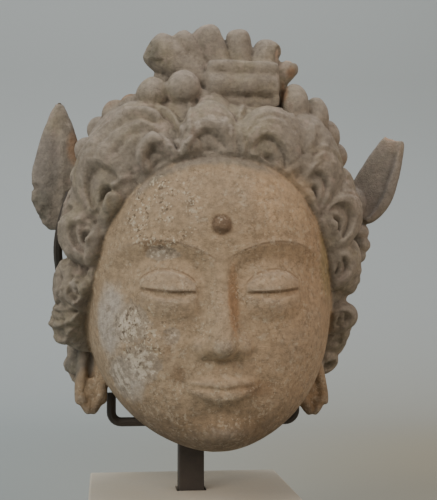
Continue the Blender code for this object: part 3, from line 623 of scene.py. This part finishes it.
def add_topknot(target):
    """Bun, fan of petals, the clasp with three rolls across in front of it, and the
    middle lock's back that runs up under the clasp."""
    add_ball(target, (12, -26, 124), (36, 26, 24))
    add_ball(target, (-26, -42, 131.5), (11, 10.5, 10.5))
    add_ball(target, (-8, -58, 117), (6, 8, 7))
    add_ball(target, (41.5, -44, 122), (6.5, 8, 10))
    add_sweep(target, (-4.5, -74, 103), (-0.5, -60, 118), finger(10, 9.5, 0.5, 4))
    for tip_x, tip_z, radius in PETALS:
        start = np.array((11 + 0.4 * tip_x, -50, 122))
        end = np.array((tip_x, -47, tip_z))
        end = end + (end - start) / np.linalg.norm(end - start) * radius
        add_sweep(target, start, end, finger(radius * 0.74, radius, 1.15, 4.5))
    for middle_z, middle_y, radius, left, right in CLASP_ROLLS:
        add_sweep(target, (left, middle_y, middle_z), (right, middle_y + 3, middle_z),
                  finger(radius, radius, roundness=9), edge=0.6)
    middle_z, _, _, left, right = CLASP_ROLLS[1]
    add_sweep(target, (left, -56.5, middle_z), (right, -53.5, middle_z),
              finger(12.6, 12.6, 0.46, 12), edge=0.8)
    for x, y in ((left + 1.5, -61.4), (right - 1.5, -58.4)):
        add_sweep(target, (x, y, 114), (x, y + 1, 139), finger(2.5, 2.5, roundness=5))


def wreath_point(clock, lift):
    angle = math.radians(62 + 18 * (clock / 48) ** 2)
    turn = math.radians(clock)
    across, up = math.sin(turn), math.cos(turn)
    direction = np.array([[math.sin(angle) * across, -math.cos(angle), math.sin(angle) * up]])
    clock, _, out = hair_frame(direction)
    radius = bare_radius(direction) + hair_ground(clock, out) + lift
    return (direction * radius[:, None] + (0, 0, STAR_Z))[0]


def add_wreath(target):
    for clock, radius, tall, lift in WREATH:
        add_ball(target, wreath_point(clock, lift * radius), (radius / tall ** 0.3, radius, radius * tall))
    for (beside, depth, height), radii in CURLS:
        add_ball(target, (flank(depth, height) + beside, depth, height), radii)


def folded_front(place):
    """Two cushions with a groove between them."""
    return 1 - 0.5 * bump(place + 0.1, 0.08) - 0.14 * bump(place - 0.45, 0.12)


def rimmed_front(place):
    """A shallow dish with a raised rim along its right edge."""
    return 0.42 + 0.58 * float(step(0.5, 0.62, place)) + 0.2 * bump(place + 1, 0.2)


def add_side_ornaments(target):
    """The folded leaf on the left and the broken, rimmed leaf on the right."""
    side = flank(14, 62)
    folded = [(share, width, 0.52 * width) for share, width in leaf(15.8, 0.36)]
    add_sweep(target, (-side - 24.9, 14, 43), (-side - 23.4, 10, 128.5), folded, form=folded_front, edge=0.8)
    add_ball(target, (-side - 32.9, 12, 61), (8.6, 7.5, 12))
    add_ball(target, (-side - 7.9, 23, 62), (18, 9, 17))
    rimmed = [(share, 15.5 * float(dome(1 - min(share * 2.2, 1), 2)) - 8.5 * share ** 2.5, 5.5 + 1.5 * share)
              for share in np.linspace(0.04, 1, 30)]
    add_sweep(target, (side + 31.9, 9, 49), (side + 57.4, 10, 106), rimmed, (-0.35, -1, 0),
              48, rimmed_front, 0.55)
    add_ball(target, (side + 17.9, 11, 62), (21, 9, 14))


def add_ears(target):
    """Long lobes of two strands, with a slit between them, that flare below."""
    side = flank(2, -24)
    for top, low, spread_out, length in (
            (-side + 2, -side + 2.2, 7.2, -69),
            (side - 10.2, side - 7.4, 8.2, -71)):
        for hand in (-1, 1):
            add_sweep(target, (top + hand * 4.2, 2, -24), (low + hand * spread_out, -4, length),
                      finger(3.4, 4.2, 1.35, 4))
            add_sweep(target, (low + hand * spread_out, -4, length + 8), (low, -4, length - 5.5),
                      finger(4.0, 3.4, 1.35, 4))
        add_ball(target, (low, -2.4, length + 6), (spread_out, 4.4, 11))
        add_ball(target, ((top + low) / 2, 4, -42), (5, 4.5, 22))


def add_neck(target):
    """Stump of the neck, broken off rough below."""
    rings = []
    for z, swell in ((-20, 0.9), (-45, 1.0), (NECK_Z + 6, 1.02), (NECK_Z, 0.9)):
        ring = []
        for k in range(80):
            turn = 2 * math.pi * k / 80
            radius = NECK_RADIUS * swell * (1 + 0.03 * math.sin(3 * turn + z) + 0.02 * math.sin(7 * turn))
            drop = 1.5 * math.sin(2 * turn + 1) if z <= NECK_Z else 0
            ring.append(carved((radius * math.sin(turn), NECK_BACK - radius * math.cos(turn), z + drop)))
        rings.append(ring)
    add_rings(target, rings)


# Mesh work

def vertex_values(items, name, width):
    """Numbers of a mesh's elements as rows."""
    values = np.empty(len(items) * width, np.float32)
    items.foreach_get(name, values)
    return values.reshape(-1, width).astype(float)


def edge_ends(mesh):
    """Numbers of the vertices at the two ends of each edge."""
    edges = np.empty(len(mesh.edges) * 2, np.int64)
    mesh.edges.foreach_get("vertices", edges)
    return edges.reshape(-1, 2).T


def keep_largest_body(mesh):
    """Takes out the loose shells that merging may leave inside."""
    first, second = edge_ends(mesh)
    body = np.arange(len(mesh.vertices))
    while True:
        lowest = np.minimum(body[first], body[second])
        grown = body.copy()
        np.minimum.at(grown, first, lowest)
        np.minimum.at(grown, second, lowest)
        grown = grown[grown]
        if np.array_equal(grown, body):
            break
        body = grown
    names, counts = np.unique(body, return_counts=True)
    if len(names) > 1:
        work = bmesh.new()
        work.from_mesh(mesh)
        work.verts.ensure_lookup_table()
        loose = np.flatnonzero(body != names[np.argmax(counts)])
        bmesh.ops.delete(work, geom=[work.verts[i] for i in loose], context="VERTS")
        work.to_mesh(mesh)
        work.free()


def spread(mesh, values, rounds):
    """Values of a mesh's vertices averaged over their neighbours, some rounds over."""
    first, second = edge_ends(mesh)
    count = len(mesh.vertices)
    neighbours = np.bincount(first, minlength=count) + np.bincount(second, minlength=count)
    values = values.copy()
    for _ in range(rounds):
        for column in values.T:
            total = np.bincount(first, column[second], count) + np.bincount(second, column[first], count)
            column += 0.6 * (total / np.maximum(neighbours, 1) - column)
    return values


def new_object(name, body):
    """Object with the mesh that was built in body, which is freed."""
    mesh = bpy.data.meshes.new(name)
    body.to_mesh(mesh)
    body.free()
    item = bpy.data.objects.new(name, mesh)
    bpy.context.collection.objects.link(item)
    return item


def apply_modifier(item, kind, **settings):
    """Gives the object the mesh that one modifier makes of it."""
    modifier = item.modifiers.new(kind.lower(), kind)
    for name, value in settings.items():
        setattr(modifier, name, value)
    graph = bpy.context.evaluated_depsgraph_get()
    mesh = bpy.data.meshes.new_from_object(item.evaluated_get(graph))
    item.modifiers.remove(modifier)
    old = item.data
    item.data = mesh
    bpy.data.meshes.remove(old)


# Wear and damage

def skin_share(points):
    """1 on the bare skin of the face and 0 on hair and ornaments."""
    from_centre = points - (0, 0, STAR_Z)
    distance = np.linalg.norm(from_centre, axis=1)
    directions = from_centre / distance[:, None]
    _, _, out = hair_frame(directions)
    over = distance - bare_radius(directions)
    edge = (1 - step(-9, -6, out)) + (1 - step(-0.5, 1.5, out)) * (1 - step(0.8, 1.8, over))
    return np.clip(edge, 0, 1) * (points[:, 1] < 20)


def closeness(points, centre, reach):
    """1 at a place, falling to 0 at the reach in each direction."""
    return 1 - step(0.3, 1, np.linalg.norm((points - centre) / reach, axis=1))


def patch(points, places):
    """1 at the places, falling to 0 at their reach."""
    amount = np.zeros(len(points))
    for centre, reach in places:
        amount = np.maximum(amount, closeness(points, centre, reach))
    return amount


def wear(points, skin):
    """Depth in millimetres that hands, weather and knocks have taken off or left on."""
    # The right ornament, which starts at 96 to 104, is smoother than the hair
    hair = (1 - skin) * (1 - 0.6 * step(96, 104, points[:, 0]))
    depth = hair * sum(height * lumps(points, size, salt) for height, size, salt in HAIR_LUMPS)
    depth += skin * sum(height * lumps(points, size, salt) for height, size, salt in SKIN_LUMPS)
    depth -= skin * 0.34 * pits(points, 5.0, 0.9, 20) * step(0.0, 0.4, lumps(points, 16, 5))
    depth -= hair * 0.4 * pits(points, 8, 1.3, 30)
    edge = 0.6 * lumps(points, 7, 40) + 0.4 * lumps(points, 2.8, 41)
    scar = step(0.35, 0.5, patch(points, PATCHES["chalk"]) + 0.6 * edge) * skin
    depth -= scar * (0.5 + 0.35 * lumps(points, 3.4, 42))
    for centre, reach, deep, _ in KNOCKS:
        knock = closeness(points, centre, reach)
        depth -= deep * step(0.1, 0.8, knock * (1 + 0.8 * lumps(points, 4, 50)))
    return depth


def weather(mesh):
    """Presses the wear into the surface."""
    points = (vertex_values(mesh.vertices, "co", 3) - HEAD_ORIGIN) / CARVER_MM
    normals = vertex_values(mesh.vertices, "normal", 3)
    points += normals * wear(points, skin_share(points))[:, None]
    low = np.array(HEAD_LOW) + BOX_MARGIN
    high = np.array(HEAD_HIGH) - BOX_MARGIN
    mesh.vertices.foreach_set("co", np.clip(carved(points), low, high).astype(np.float32).ravel())
    mesh.update()


def surface_marks(mesh):
    """Where the surface is recessed, worn, stained or chipped, and where shade and light are painted into its
    colour, one value for each vertex.
    """
    where = vertex_values(mesh.vertices, "co", 3)
    points = (where - HEAD_ORIGIN) / CARVER_MM
    normals = vertex_values(mesh.vertices, "normal", 3)
    fine, broad = (np.sum((spread(mesh, where, rounds) - where) * normals, axis=1) * 1000
                   for rounds in (6, 40))
    skin = spread(mesh, skin_share(points)[:, None], 3)[:, 0]
    side = np.abs(points[:, 0])
    front = points[:, 1] < -40
    _, arch, upper_edge, _, fold = lid_lines(side)
    marks = {
        "skin": skin,
        # Dust and painted shade: darker where the surface lies in a fine or a broad recess, less so on the
        # skin
        "dust_and_shade_in_recesses": np.clip((fine * 1.4 + broad * 0.2) * (1 - 0.75 * skin), 0, 1),
        "worn": np.clip(-(fine * 1.0 + broad * 0.12), 0, 1),
        # Painted warm light and shade: warmer and a little darker towards the right, more on the skin
        "painted_warm_shade_right": step(-60, 70, points[:, 0]) * (0.55 + 0.45 * skin),
        # Painted shade: the skin darkens towards the chin, where less light from above falls
        "low": (1 - step(-88, -40, points[:, 2])) * skin,
        "on_brow": step(2, 6, side) * (1 - step(46, 56, side)) * front,
        "on_eye": step(0.02, 0.15, arch) * front,
        "from_brow": points[:, 2] - brow_line(side),
        "from_lid": points[:, 2] - upper_edge,
        "from_fold": points[:, 2] - fold - 0.8,
        "fresh": np.zeros(len(points)),
    }
    for centre, reach, _, fresh in KNOCKS:
        marks["fresh"] = np.maximum(marks["fresh"], fresh * closeness(points, centre, reach))
    for name, places in PATCHES.items():
        marks[name] = patch(points, places)
    marks["olive"] *= skin
    return marks


# The head

def carve_head():
    bodies = bmesh.new()
    add_shell(bodies)
    add_topknot(bodies)
    add_wreath(bodies)
    add_side_ornaments(bodies)
    add_ears(bodies)
    add_neck(bodies)
    bmesh.ops.recalc_face_normals(bodies, faces=bodies.faces)
    head = new_object("carved_head", bodies)
    apply_modifier(head, "REMESH", mode="VOXEL", voxel_size=VOXEL)
    keep_largest_body(head.data)
    smooth_points = spread(head.data, vertex_values(head.data.vertices, "co", 3), 1)
    head.data.vertices.foreach_set("co", smooth_points.astype(np.float32).ravel())
    weather(head.data)
    thin_out(head)
    drill_neck(head)
    for name, values in surface_marks(head.data).items():
        layer = head.data.attributes.new(name, "FLOAT", "POINT")
        layer.data.foreach_set("value", values.astype(np.float32))
    head.data.shade_smooth()
    return head


def thin_out(head):
    """Fewer faces, most of them kept where the carving is busy."""
    apply_modifier(head, "DECIMATE", ratio=HEAD_FACES / (2 * len(head.data.polygons)))


def drill_neck(head):
    """The bore that the post stands in."""
    drill = bmesh.new()
    bmesh.ops.create_cube(drill, size=1.0)
    half = (POST_HIGH.x - POST_LOW.x) / 2 + BORE_CLEARANCE
    low, high = HEAD_LOW.z - DRILL_OVERRUN, POST_HIGH.z + BORE_TOP_GAP
    for vert in drill.verts:
        vert.co = (vert.co.x * 2 * half, vert.co.y * 2 * half, low + (vert.co.z + 0.5) * (high - low))
    cutter = new_object("drill", drill)
    bpy.context.view_layer.update()
    apply_modifier(head, "BOOLEAN", operation="DIFFERENCE", object=cutter, solver="MANIFOLD")
    bpy.data.objects.remove(cutter)


# Materials

def linear(code):
    """sRGB hex to linear colour."""
    channels = [int(code[i:i + 2], 16) / 255 for i in (0, 2, 4)]
    return (*[c / 12.92 if c <= 0.04045 else ((c + 0.055) / 1.055) ** 2.4 for c in channels], 1.0)


def per_mm(size):
    """Texture scale for a pattern of this size in millimetres."""
    return 1000 / size


def add_node(tree, kind, settings=None, inputs=None):
    """Adds a node, sets its properties, and sets or links its inputs."""
    item = tree.nodes.new(kind)
    for name, value in (settings or {}).items():
        setattr(item, name, value)
    for name, value in (inputs or {}).items():
        if isinstance(value, bpy.types.NodeSocket):
            tree.links.new(value, item.inputs[name])
        else:
            item.inputs[name].default_value = value
    return item


def new_material(name, **finish):
    """Material with its node tree, its shader and the place on the surface in metres."""
    material = bpy.data.materials.new(name)
    material.use_nodes = True
    tree = material.node_tree
    shader = tree.nodes["Principled BSDF"]
    for setting, value in finish.items():
        shader.inputs[setting].default_value = value
    return material, tree, shader, add_node(tree, "ShaderNodeTexCoord").outputs["Object"]


# Setting of a range that starts and ends softly
SOFT_ENDS = {"interpolation_type": "SMOOTHSTEP"}

# Marks that surface_marks leaves on the carved head
MARKS = (
    *PATCHES, "skin", "dust_and_shade_in_recesses", "worn", "painted_warm_shade_right", "low", "fresh",
    "on_brow", "on_eye", "from_brow", "from_lid", "from_fold",
)
# Layers over the stucco: mark, colour, size of the mottling in millimetres,
# how much the mottling breaks the mark, where the layer starts and is full, strength
STUCCO_LAYERS = (
    ("skin", "9b866c", 6, 0.5, 0.0, 0.9, 1.0),
    # Painted warm light and shade towards the right
    ("painted_warm_shade_right", "a4794f", 26, 0.8, 0.35, 1.6, 0.45),
    # Painted shade that darkens the skin towards the chin
    ("low", "6e5941", 12, 0.4, 0.0, 1.0, 0.9),
    ("grey", "aba49b", 9, 0.9, 0.2, 1.0, 0.7),
    # Painted highlight on the right of the forehead
    ("painted_highlight_forehead", "b59775", 14, 0.5, 0.1, 1.0, 0.6),
    ("cool", "716a63", 8, 0.5, 0.0, 0.9, 0.65),
    # Dust and painted shade in the recesses, laid on in dark brown
    ("dust_and_shade_in_recesses", "4a4036", 3, 0.3, 0.15, 1.0, 0.45),
    ("worn", "a0968a", 3, 0.6, 0.1, 1.1, 0.4),
    ("brown", "765c42", 5, 1.4, 0.3, 1.1, 0.6),
    # Ochre stains, darkened so that the one down the nose also paints the nose's shadow
    ("ochre_stain_and_nose_shadow", "8a6038", 5, 1.0, 0.2, 1.1, 0.55),
    ("olive", "857b50", 9, 0.6, 0.2, 1.1, 0.5),
    ("forehead_mark", "654f3b", 3, 0.5, 0.1, 0.6, 0.85),
    ("dark", "4b4a40", 7, 1.3, 0.3, 1.3, 0.55),
    ("pale", "a3988c", 4, 1.6, 0.35, 1.0, 0.6),
    ("chalk", "958878", 6, 1.6, 0.3, 0.6, 0.7),
    ("chalk", "c2b6a5", 4, 2.6, 0.8, 1.1, 0.6),
    ("fresh", "b59680", 4, 0.5, 0.3, 0.8, 0.7),
)


def cloud_mask(tree, place, size, detail, low, high, top=1.0, bottom=0.0, roughness=0.55):
    """Mask of cloudy patches of this size in millimetres, from bottom to top with soft ends."""
    cloud = add_node(tree, "ShaderNodeTexNoise", inputs={
        "Vector": place, "Scale": per_mm(size), "Detail": detail, "Roughness": roughness})
    return add_node(tree, "ShaderNodeMapRange", SOFT_ENDS, {
        "Value": cloud.outputs["Fac"], "From Min": low, "From Max": high,
        "To Min": bottom, "To Max": top}).outputs[0]


def broken_mask(tree, place, mark, size, breaking, start, full, strength):
    """A mark whose edge is broken up by mottling of this size in millimetres."""
    cloud = add_node(tree, "ShaderNodeTexNoise", inputs={
        "Vector": place, "Scale": per_mm(size), "Detail": 6, "Roughness": 0.62})
    broken = add_node(tree, "ShaderNodeMath", {"operation": "MULTIPLY_ADD"}, {
        0: cloud.outputs["Fac"], 1: breaking, 2: mark})
    return add_node(tree, "ShaderNodeMapRange", SOFT_ENDS, {
        "Value": broken.outputs[0], "From Min": start + breaking / 2, "From Max": full + breaking / 2,
        "To Max": strength}).outputs[0]


def mottled(tree, place, size, detail, one, other, roughness=0.55):
    """Two tones of one material in cloudy patches of this size in millimetres."""
    cloud = add_node(tree, "ShaderNodeTexNoise", inputs={
        "Vector": place, "Scale": per_mm(size), "Detail": detail, "Roughness": roughness})
    return add_node(tree, "ShaderNodeMix", {"data_type": "RGBA"}, {
        0: cloud.outputs["Fac"], 6: linear(one), 7: linear(other)}).outputs[2]


def laid_over(tree, base, colour, *masks):
    """The base with a colour laid over it where all the masks are."""
    amount = masks[0]
    for mask in masks[1:]:
        amount = add_node(tree, "ShaderNodeMath", {"operation": "MULTIPLY"}, {0: amount, 1: mask}).outputs[0]
    return add_node(tree, "ShaderNodeMix", {"data_type": "RGBA"}, {
        0: amount, 6: base, 7: linear(colour)}).outputs[2]


def press_grain(tree, place, shader, grains, strength, distance):
    """Roughens the surface with grains of size in millimetres, detail, roughness and share."""
    height = 0.0
    for size, detail, roughness, share in grains:
        cloud = add_node(tree, "ShaderNodeTexNoise", inputs={
            "Vector": place, "Scale": per_mm(size), "Detail": detail, "Roughness": roughness})
        height = add_node(tree, "ShaderNodeMath", {"operation": "MULTIPLY_ADD"}, {
            0: cloud.outputs["Fac"], 1: share, 2: height}).outputs[0]
    bumps = add_node(tree, "ShaderNodeBump", inputs={
        "Height": height, "Strength": strength, "Distance": distance})
    tree.links.new(bumps.outputs["Normal"], shader.inputs["Normal"])


def drawn_line(tree, place, base, away, gate, width, strength):
    """A thin worn line of brown paint along the zero of a mark that is a distance."""
    distance = add_node(tree, "ShaderNodeMath", {"operation": "ABSOLUTE"}, {0: away})
    line = add_node(tree, "ShaderNodeMapRange", SOFT_ENDS, {
        "Value": distance.outputs[0], "From Min": width * 0.3, "From Max": width,
        "To Min": strength, "To Max": 0.0})
    rubbed = cloud_mask(tree, place, 4, 5, 0.34, 0.56)
    return laid_over(tree, base, "5d4734", line.outputs[0], gate, rubbed)


def flecks(tree, place, base, marks, size, low, high, colour, few=0.15):
    """Small irregular flecks, thick where the specks mark is."""
    some = add_node(tree, "ShaderNodeMath", {"operation": "MULTIPLY"}, {0: marks["skin"], 1: few})
    many = add_node(tree, "ShaderNodeMapRange", SOFT_ENDS, {
        "Value": marks["specks"], "From Max": 0.7, "To Min": 0.06, "To Max": 0.7})
    amount = add_node(tree, "ShaderNodeMath", {"operation": "MAXIMUM"}, {
        0: some.outputs[0], 1: many.outputs[0]})
    spots = cloud_mask(tree, place, size, 3, low, high, roughness=0.5)
    gathered = cloud_mask(tree, place, 10, 4, 0.40, 0.56)
    return laid_over(tree, base, colour, spots, gathered, amount.outputs[0])


def cracks(tree, place, base, skin):
    """Fine drying cracks some 5 mm apart, drawn 0.4 mm wide so that they show."""
    reach = 0.012
    shifts = add_node(tree, "ShaderNodeTexNoise", inputs={"Vector": place, "Scale": per_mm(6), "Detail": 5})
    bent = add_node(tree, "ShaderNodeVectorMath", {"operation": "MULTIPLY_ADD"}, {
        0: shifts.outputs["Color"], 1: (reach, reach, reach), 2: place})
    edges = add_node(tree, "ShaderNodeTexVoronoi", {"feature": "DISTANCE_TO_EDGE"}, {
        "Vector": bent.outputs[0], "Scale": per_mm(5)})
    crack = add_node(tree, "ShaderNodeMapRange", SOFT_ENDS, {
        "Value": edges.outputs["Distance"], "From Min": 0.02, "From Max": 0.08, "To Min": 0.4, "To Max": 0.0})
    cracked = cloud_mask(tree, place, 14, 4, 0.52, 0.64)
    return laid_over(tree, base, "6b5943", crack.outputs[0], cracked, skin)


def weathered_stucco():
    """Lime and clay stucco, modelled by hand and worn: dry, mottled, with dust and painted shade in its
    recesses, and more shade and light painted into its colour.
    """
    material, tree, shader, place = new_material("weathered_stucco", Roughness=0.88, IOR=1.5)
    marks = {}
    for name in MARKS:
        marks[name] = add_node(tree, "ShaderNodeAttribute", {"attribute_name": name}).outputs["Fac"]
    base = mottled(tree, place, 16, 6, "6e6457", "918678")
    base = laid_over(tree, base, "867c64", cloud_mask(tree, place, 24, 4, 0.45, 0.62, 0.5))
    base = laid_over(tree, base, "97867b", cloud_mask(tree, place, 12, 5, 0.53, 0.66, 0.5))
    for name, colour, *pattern in STUCCO_LAYERS:
        base = laid_over(tree, base, colour, broken_mask(tree, place, marks[name], *pattern))
    for name, gate, width, strength in (
            ("from_brow", "on_brow", 0.9, 0.5), ("from_lid", "on_eye", 1.3, 0.65),
            ("from_fold", "on_eye", 0.9, 0.5)):
        base = drawn_line(tree, place, base, marks[name], marks[gate], width, strength)
    blotches = cloud_mask(tree, place, 4, 7, 0.35, 0.65, 0.68, 0.32, 0.66)
    contrast = add_node(tree, "ShaderNodeMapRange", SOFT_ENDS, {
        "Value": marks["skin"], "To Min": 0.36, "To Max": 0.5})
    base = add_node(tree, "ShaderNodeMix", {"data_type": "RGBA", "blend_type": "OVERLAY"}, {
        0: contrast.outputs[0], 6: base, 7: blotches}).outputs[2]
    base = cracks(tree, place, base, marks["skin"])
    base = flecks(tree, place, base, marks, 3.4, 0.56, 0.64, "b8aa94", 0.3)
    base = flecks(tree, place, base, marks, 2.0, 0.42, 0.36, "544638")
    base = flecks(tree, place, base, marks, 1.6, 0.58, 0.64, "cbbfa8", 0.25)
    tree.links.new(base, shader.inputs["Base Color"])
    # Sand under 1 mm is drawn 1.2 mm wide so that it shows, over the lumps of the hand's work
    press_grain(tree, place, shader, ((4.5, 8, 0.68, 1.0), (1.2, 8, 0.7, 0.5)), 0.8, 0.0018)
    return material


def blackened_steel():
    """Hot-rolled bar, blackened and waxed: near black, with brown where it wears."""
    material, tree, shader, place = new_material("blackened_steel", Roughness=0.62, Metallic=0.2)
    tree.links.new(mottled(tree, place, 6, 6, "37312c", "4b4239"), shader.inputs["Base Color"])
    # The rolled skin's grain is drawn 1.5 mm wide so that it shows
    press_grain(tree, place, shader, ((1.5, 5, 0.55, 1.0),), 0.25, 0.0002)
    return material


def honed_limestone():
    """Pale limestone, sawn and honed: even, matt, with fine grain."""
    material, tree, shader, place = new_material("honed_limestone", Roughness=0.75, IOR=1.5)
    # The stone's grains, under 0.5 mm, are drawn 0.8 to 1.6 mm wide so that they show
    grain = mottled(tree, place, 1.6, 6, "b8b0a0", "d1c8b8", 0.7)
    colour = laid_over(tree, grain, "c8bca8", cloud_mask(tree, place, 22, 4, 0.35, 0.7, 0.5))
    tree.links.new(colour, shader.inputs["Base Color"])
    press_grain(tree, place, shader, ((0.8, 5, 0.55, 1.0),), 0.2, 0.0002)
    return material


def painted_backdrop():
    """Matt grey-green paper, with painted shade that darkens it towards the floor and painted warm light that
    warms the floor towards the right.
    """
    material, tree, shader, place = new_material("painted_backdrop", Roughness=0.95, IOR=1.5)
    parts = add_node(tree, "ShaderNodeSeparateXYZ", inputs={0: place})
    base = linear("8d9493")
    # Painted warm light towards the right, then painted shade: paler towards the back and up the backdrop,
    # darker on the floor in front
    for axis, low, high, colour in (("X", -0.3, 0.5, "90866f"), ("Y", 0.3, 1.3, "a6abaa")):
        share = add_node(tree, "ShaderNodeMapRange", SOFT_ENDS, {
            "Value": parts.outputs[axis], "From Min": low, "From Max": high})
        base = laid_over(tree, base, colour, share.outputs[0])
    tree.links.new(base, shader.inputs["Base Color"])
    return material


def give_finish(item, material):
    if not item.material_slots:
        item.data.materials.append(material)
    for slot in item.material_slots:
        slot.material = material


# Studio

CAMERA_PLACE = (-0.0551, -0.663, 0.1735)
CAMERA_YAW = 6.3            # degrees to the right
CAMERA_PITCH = 2.58         # degrees up
LENS = 73.6                 # millimetres, on a frame 36 mm wide
SENSOR_WIDTH = 36
SKY_STRENGTH = 0.58
# Lights: name, place, target, width, power in watts and colour
LIGHTS = (
    ("window_left", (-0.8, -0.82, 0.9), (0, 0, 0.2), 0.7, 12.5, "fffaf2"),
    ("lamp_right", (0.9, -0.7, 0.8), (0, 0, 0.2), 0.6, 6.2, "ffecdc"),
    ("backdrop_wash", (0, 0.3, 2.2), (0, 1.3, 0.6), 1.2, 27, "f4f8ff"),
)


def make_camera():
    yaw, pitch = math.radians(CAMERA_YAW), math.radians(CAMERA_PITCH)
    lens = bpy.data.cameras.new("camera")
    lens.lens = LENS
    lens.sensor_width = SENSOR_WIDTH
    camera = bpy.data.objects.new("camera", lens)
    bpy.context.collection.objects.link(camera)
    camera.location = CAMERA_PLACE
    forward = Vector((math.sin(yaw) * math.cos(pitch), math.cos(yaw) * math.cos(pitch), math.sin(pitch)))
    camera.rotation_euler = forward.to_track_quat("-Z", "Y").to_euler()
    bpy.context.scene.camera = camera


def make_cove():
    """Pale floor that turns up into the backdrop in one sweep."""
    front, bend, back, radius, top = -2.4, 0.7, 1.3, 0.6, 2.6
    profile = [(front, 0.0), (bend, 0.0)]
    for turn in np.linspace(0.1, math.pi / 2, 14):
        profile.append((bend + radius * math.sin(turn), radius - radius * math.cos(turn)))
    profile.append((back, top))
    cove = bmesh.new()
    rows = [[cove.verts.new((x, y, z)) for y, z in profile] for x in (front, -front)]
    for i in range(len(profile) - 1):
        cove.faces.new((rows[0][i], rows[1][i], rows[1][i + 1], rows[0][i + 1]))
    item = new_object("studio_cove", cove)
    item.data.shade_smooth()
    give_finish(item, painted_backdrop())


def make_light(name, place, target, size, power, colour):
    lamp = bpy.data.lights.new(name, "AREA")
    lamp.energy = power
    lamp.size = size
    lamp.color = linear(colour)[:3]
    item = bpy.data.objects.new(name, lamp)
    bpy.context.collection.objects.link(item)
    item.location = place
    item.rotation_euler = (Vector(target) - Vector(place)).to_track_quat("-Z", "Y").to_euler()


def light_studio():
    world = bpy.data.worlds.new("studio_air")
    world.use_nodes = True
    sky = world.node_tree.nodes["Background"]
    sky.inputs["Color"].default_value = linear("d8dbdc")
    sky.inputs["Strength"].default_value = SKY_STRENGTH
    bpy.context.scene.world = world
    for light in LIGHTS:
        make_light(*light)


def main():
    make_camera()
    make_cove()
    light_studio()
    head = carve_head()
    give_finish(head, weathered_stucco())
    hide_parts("head")
    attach(head, "root")
    steel = blackened_steel()
    for name in ("support_post", "jaw_cradle", "wing_arm"):
        give_finish(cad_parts[name], steel)
    give_finish(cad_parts["plinth_block"], honed_limestone())


main()
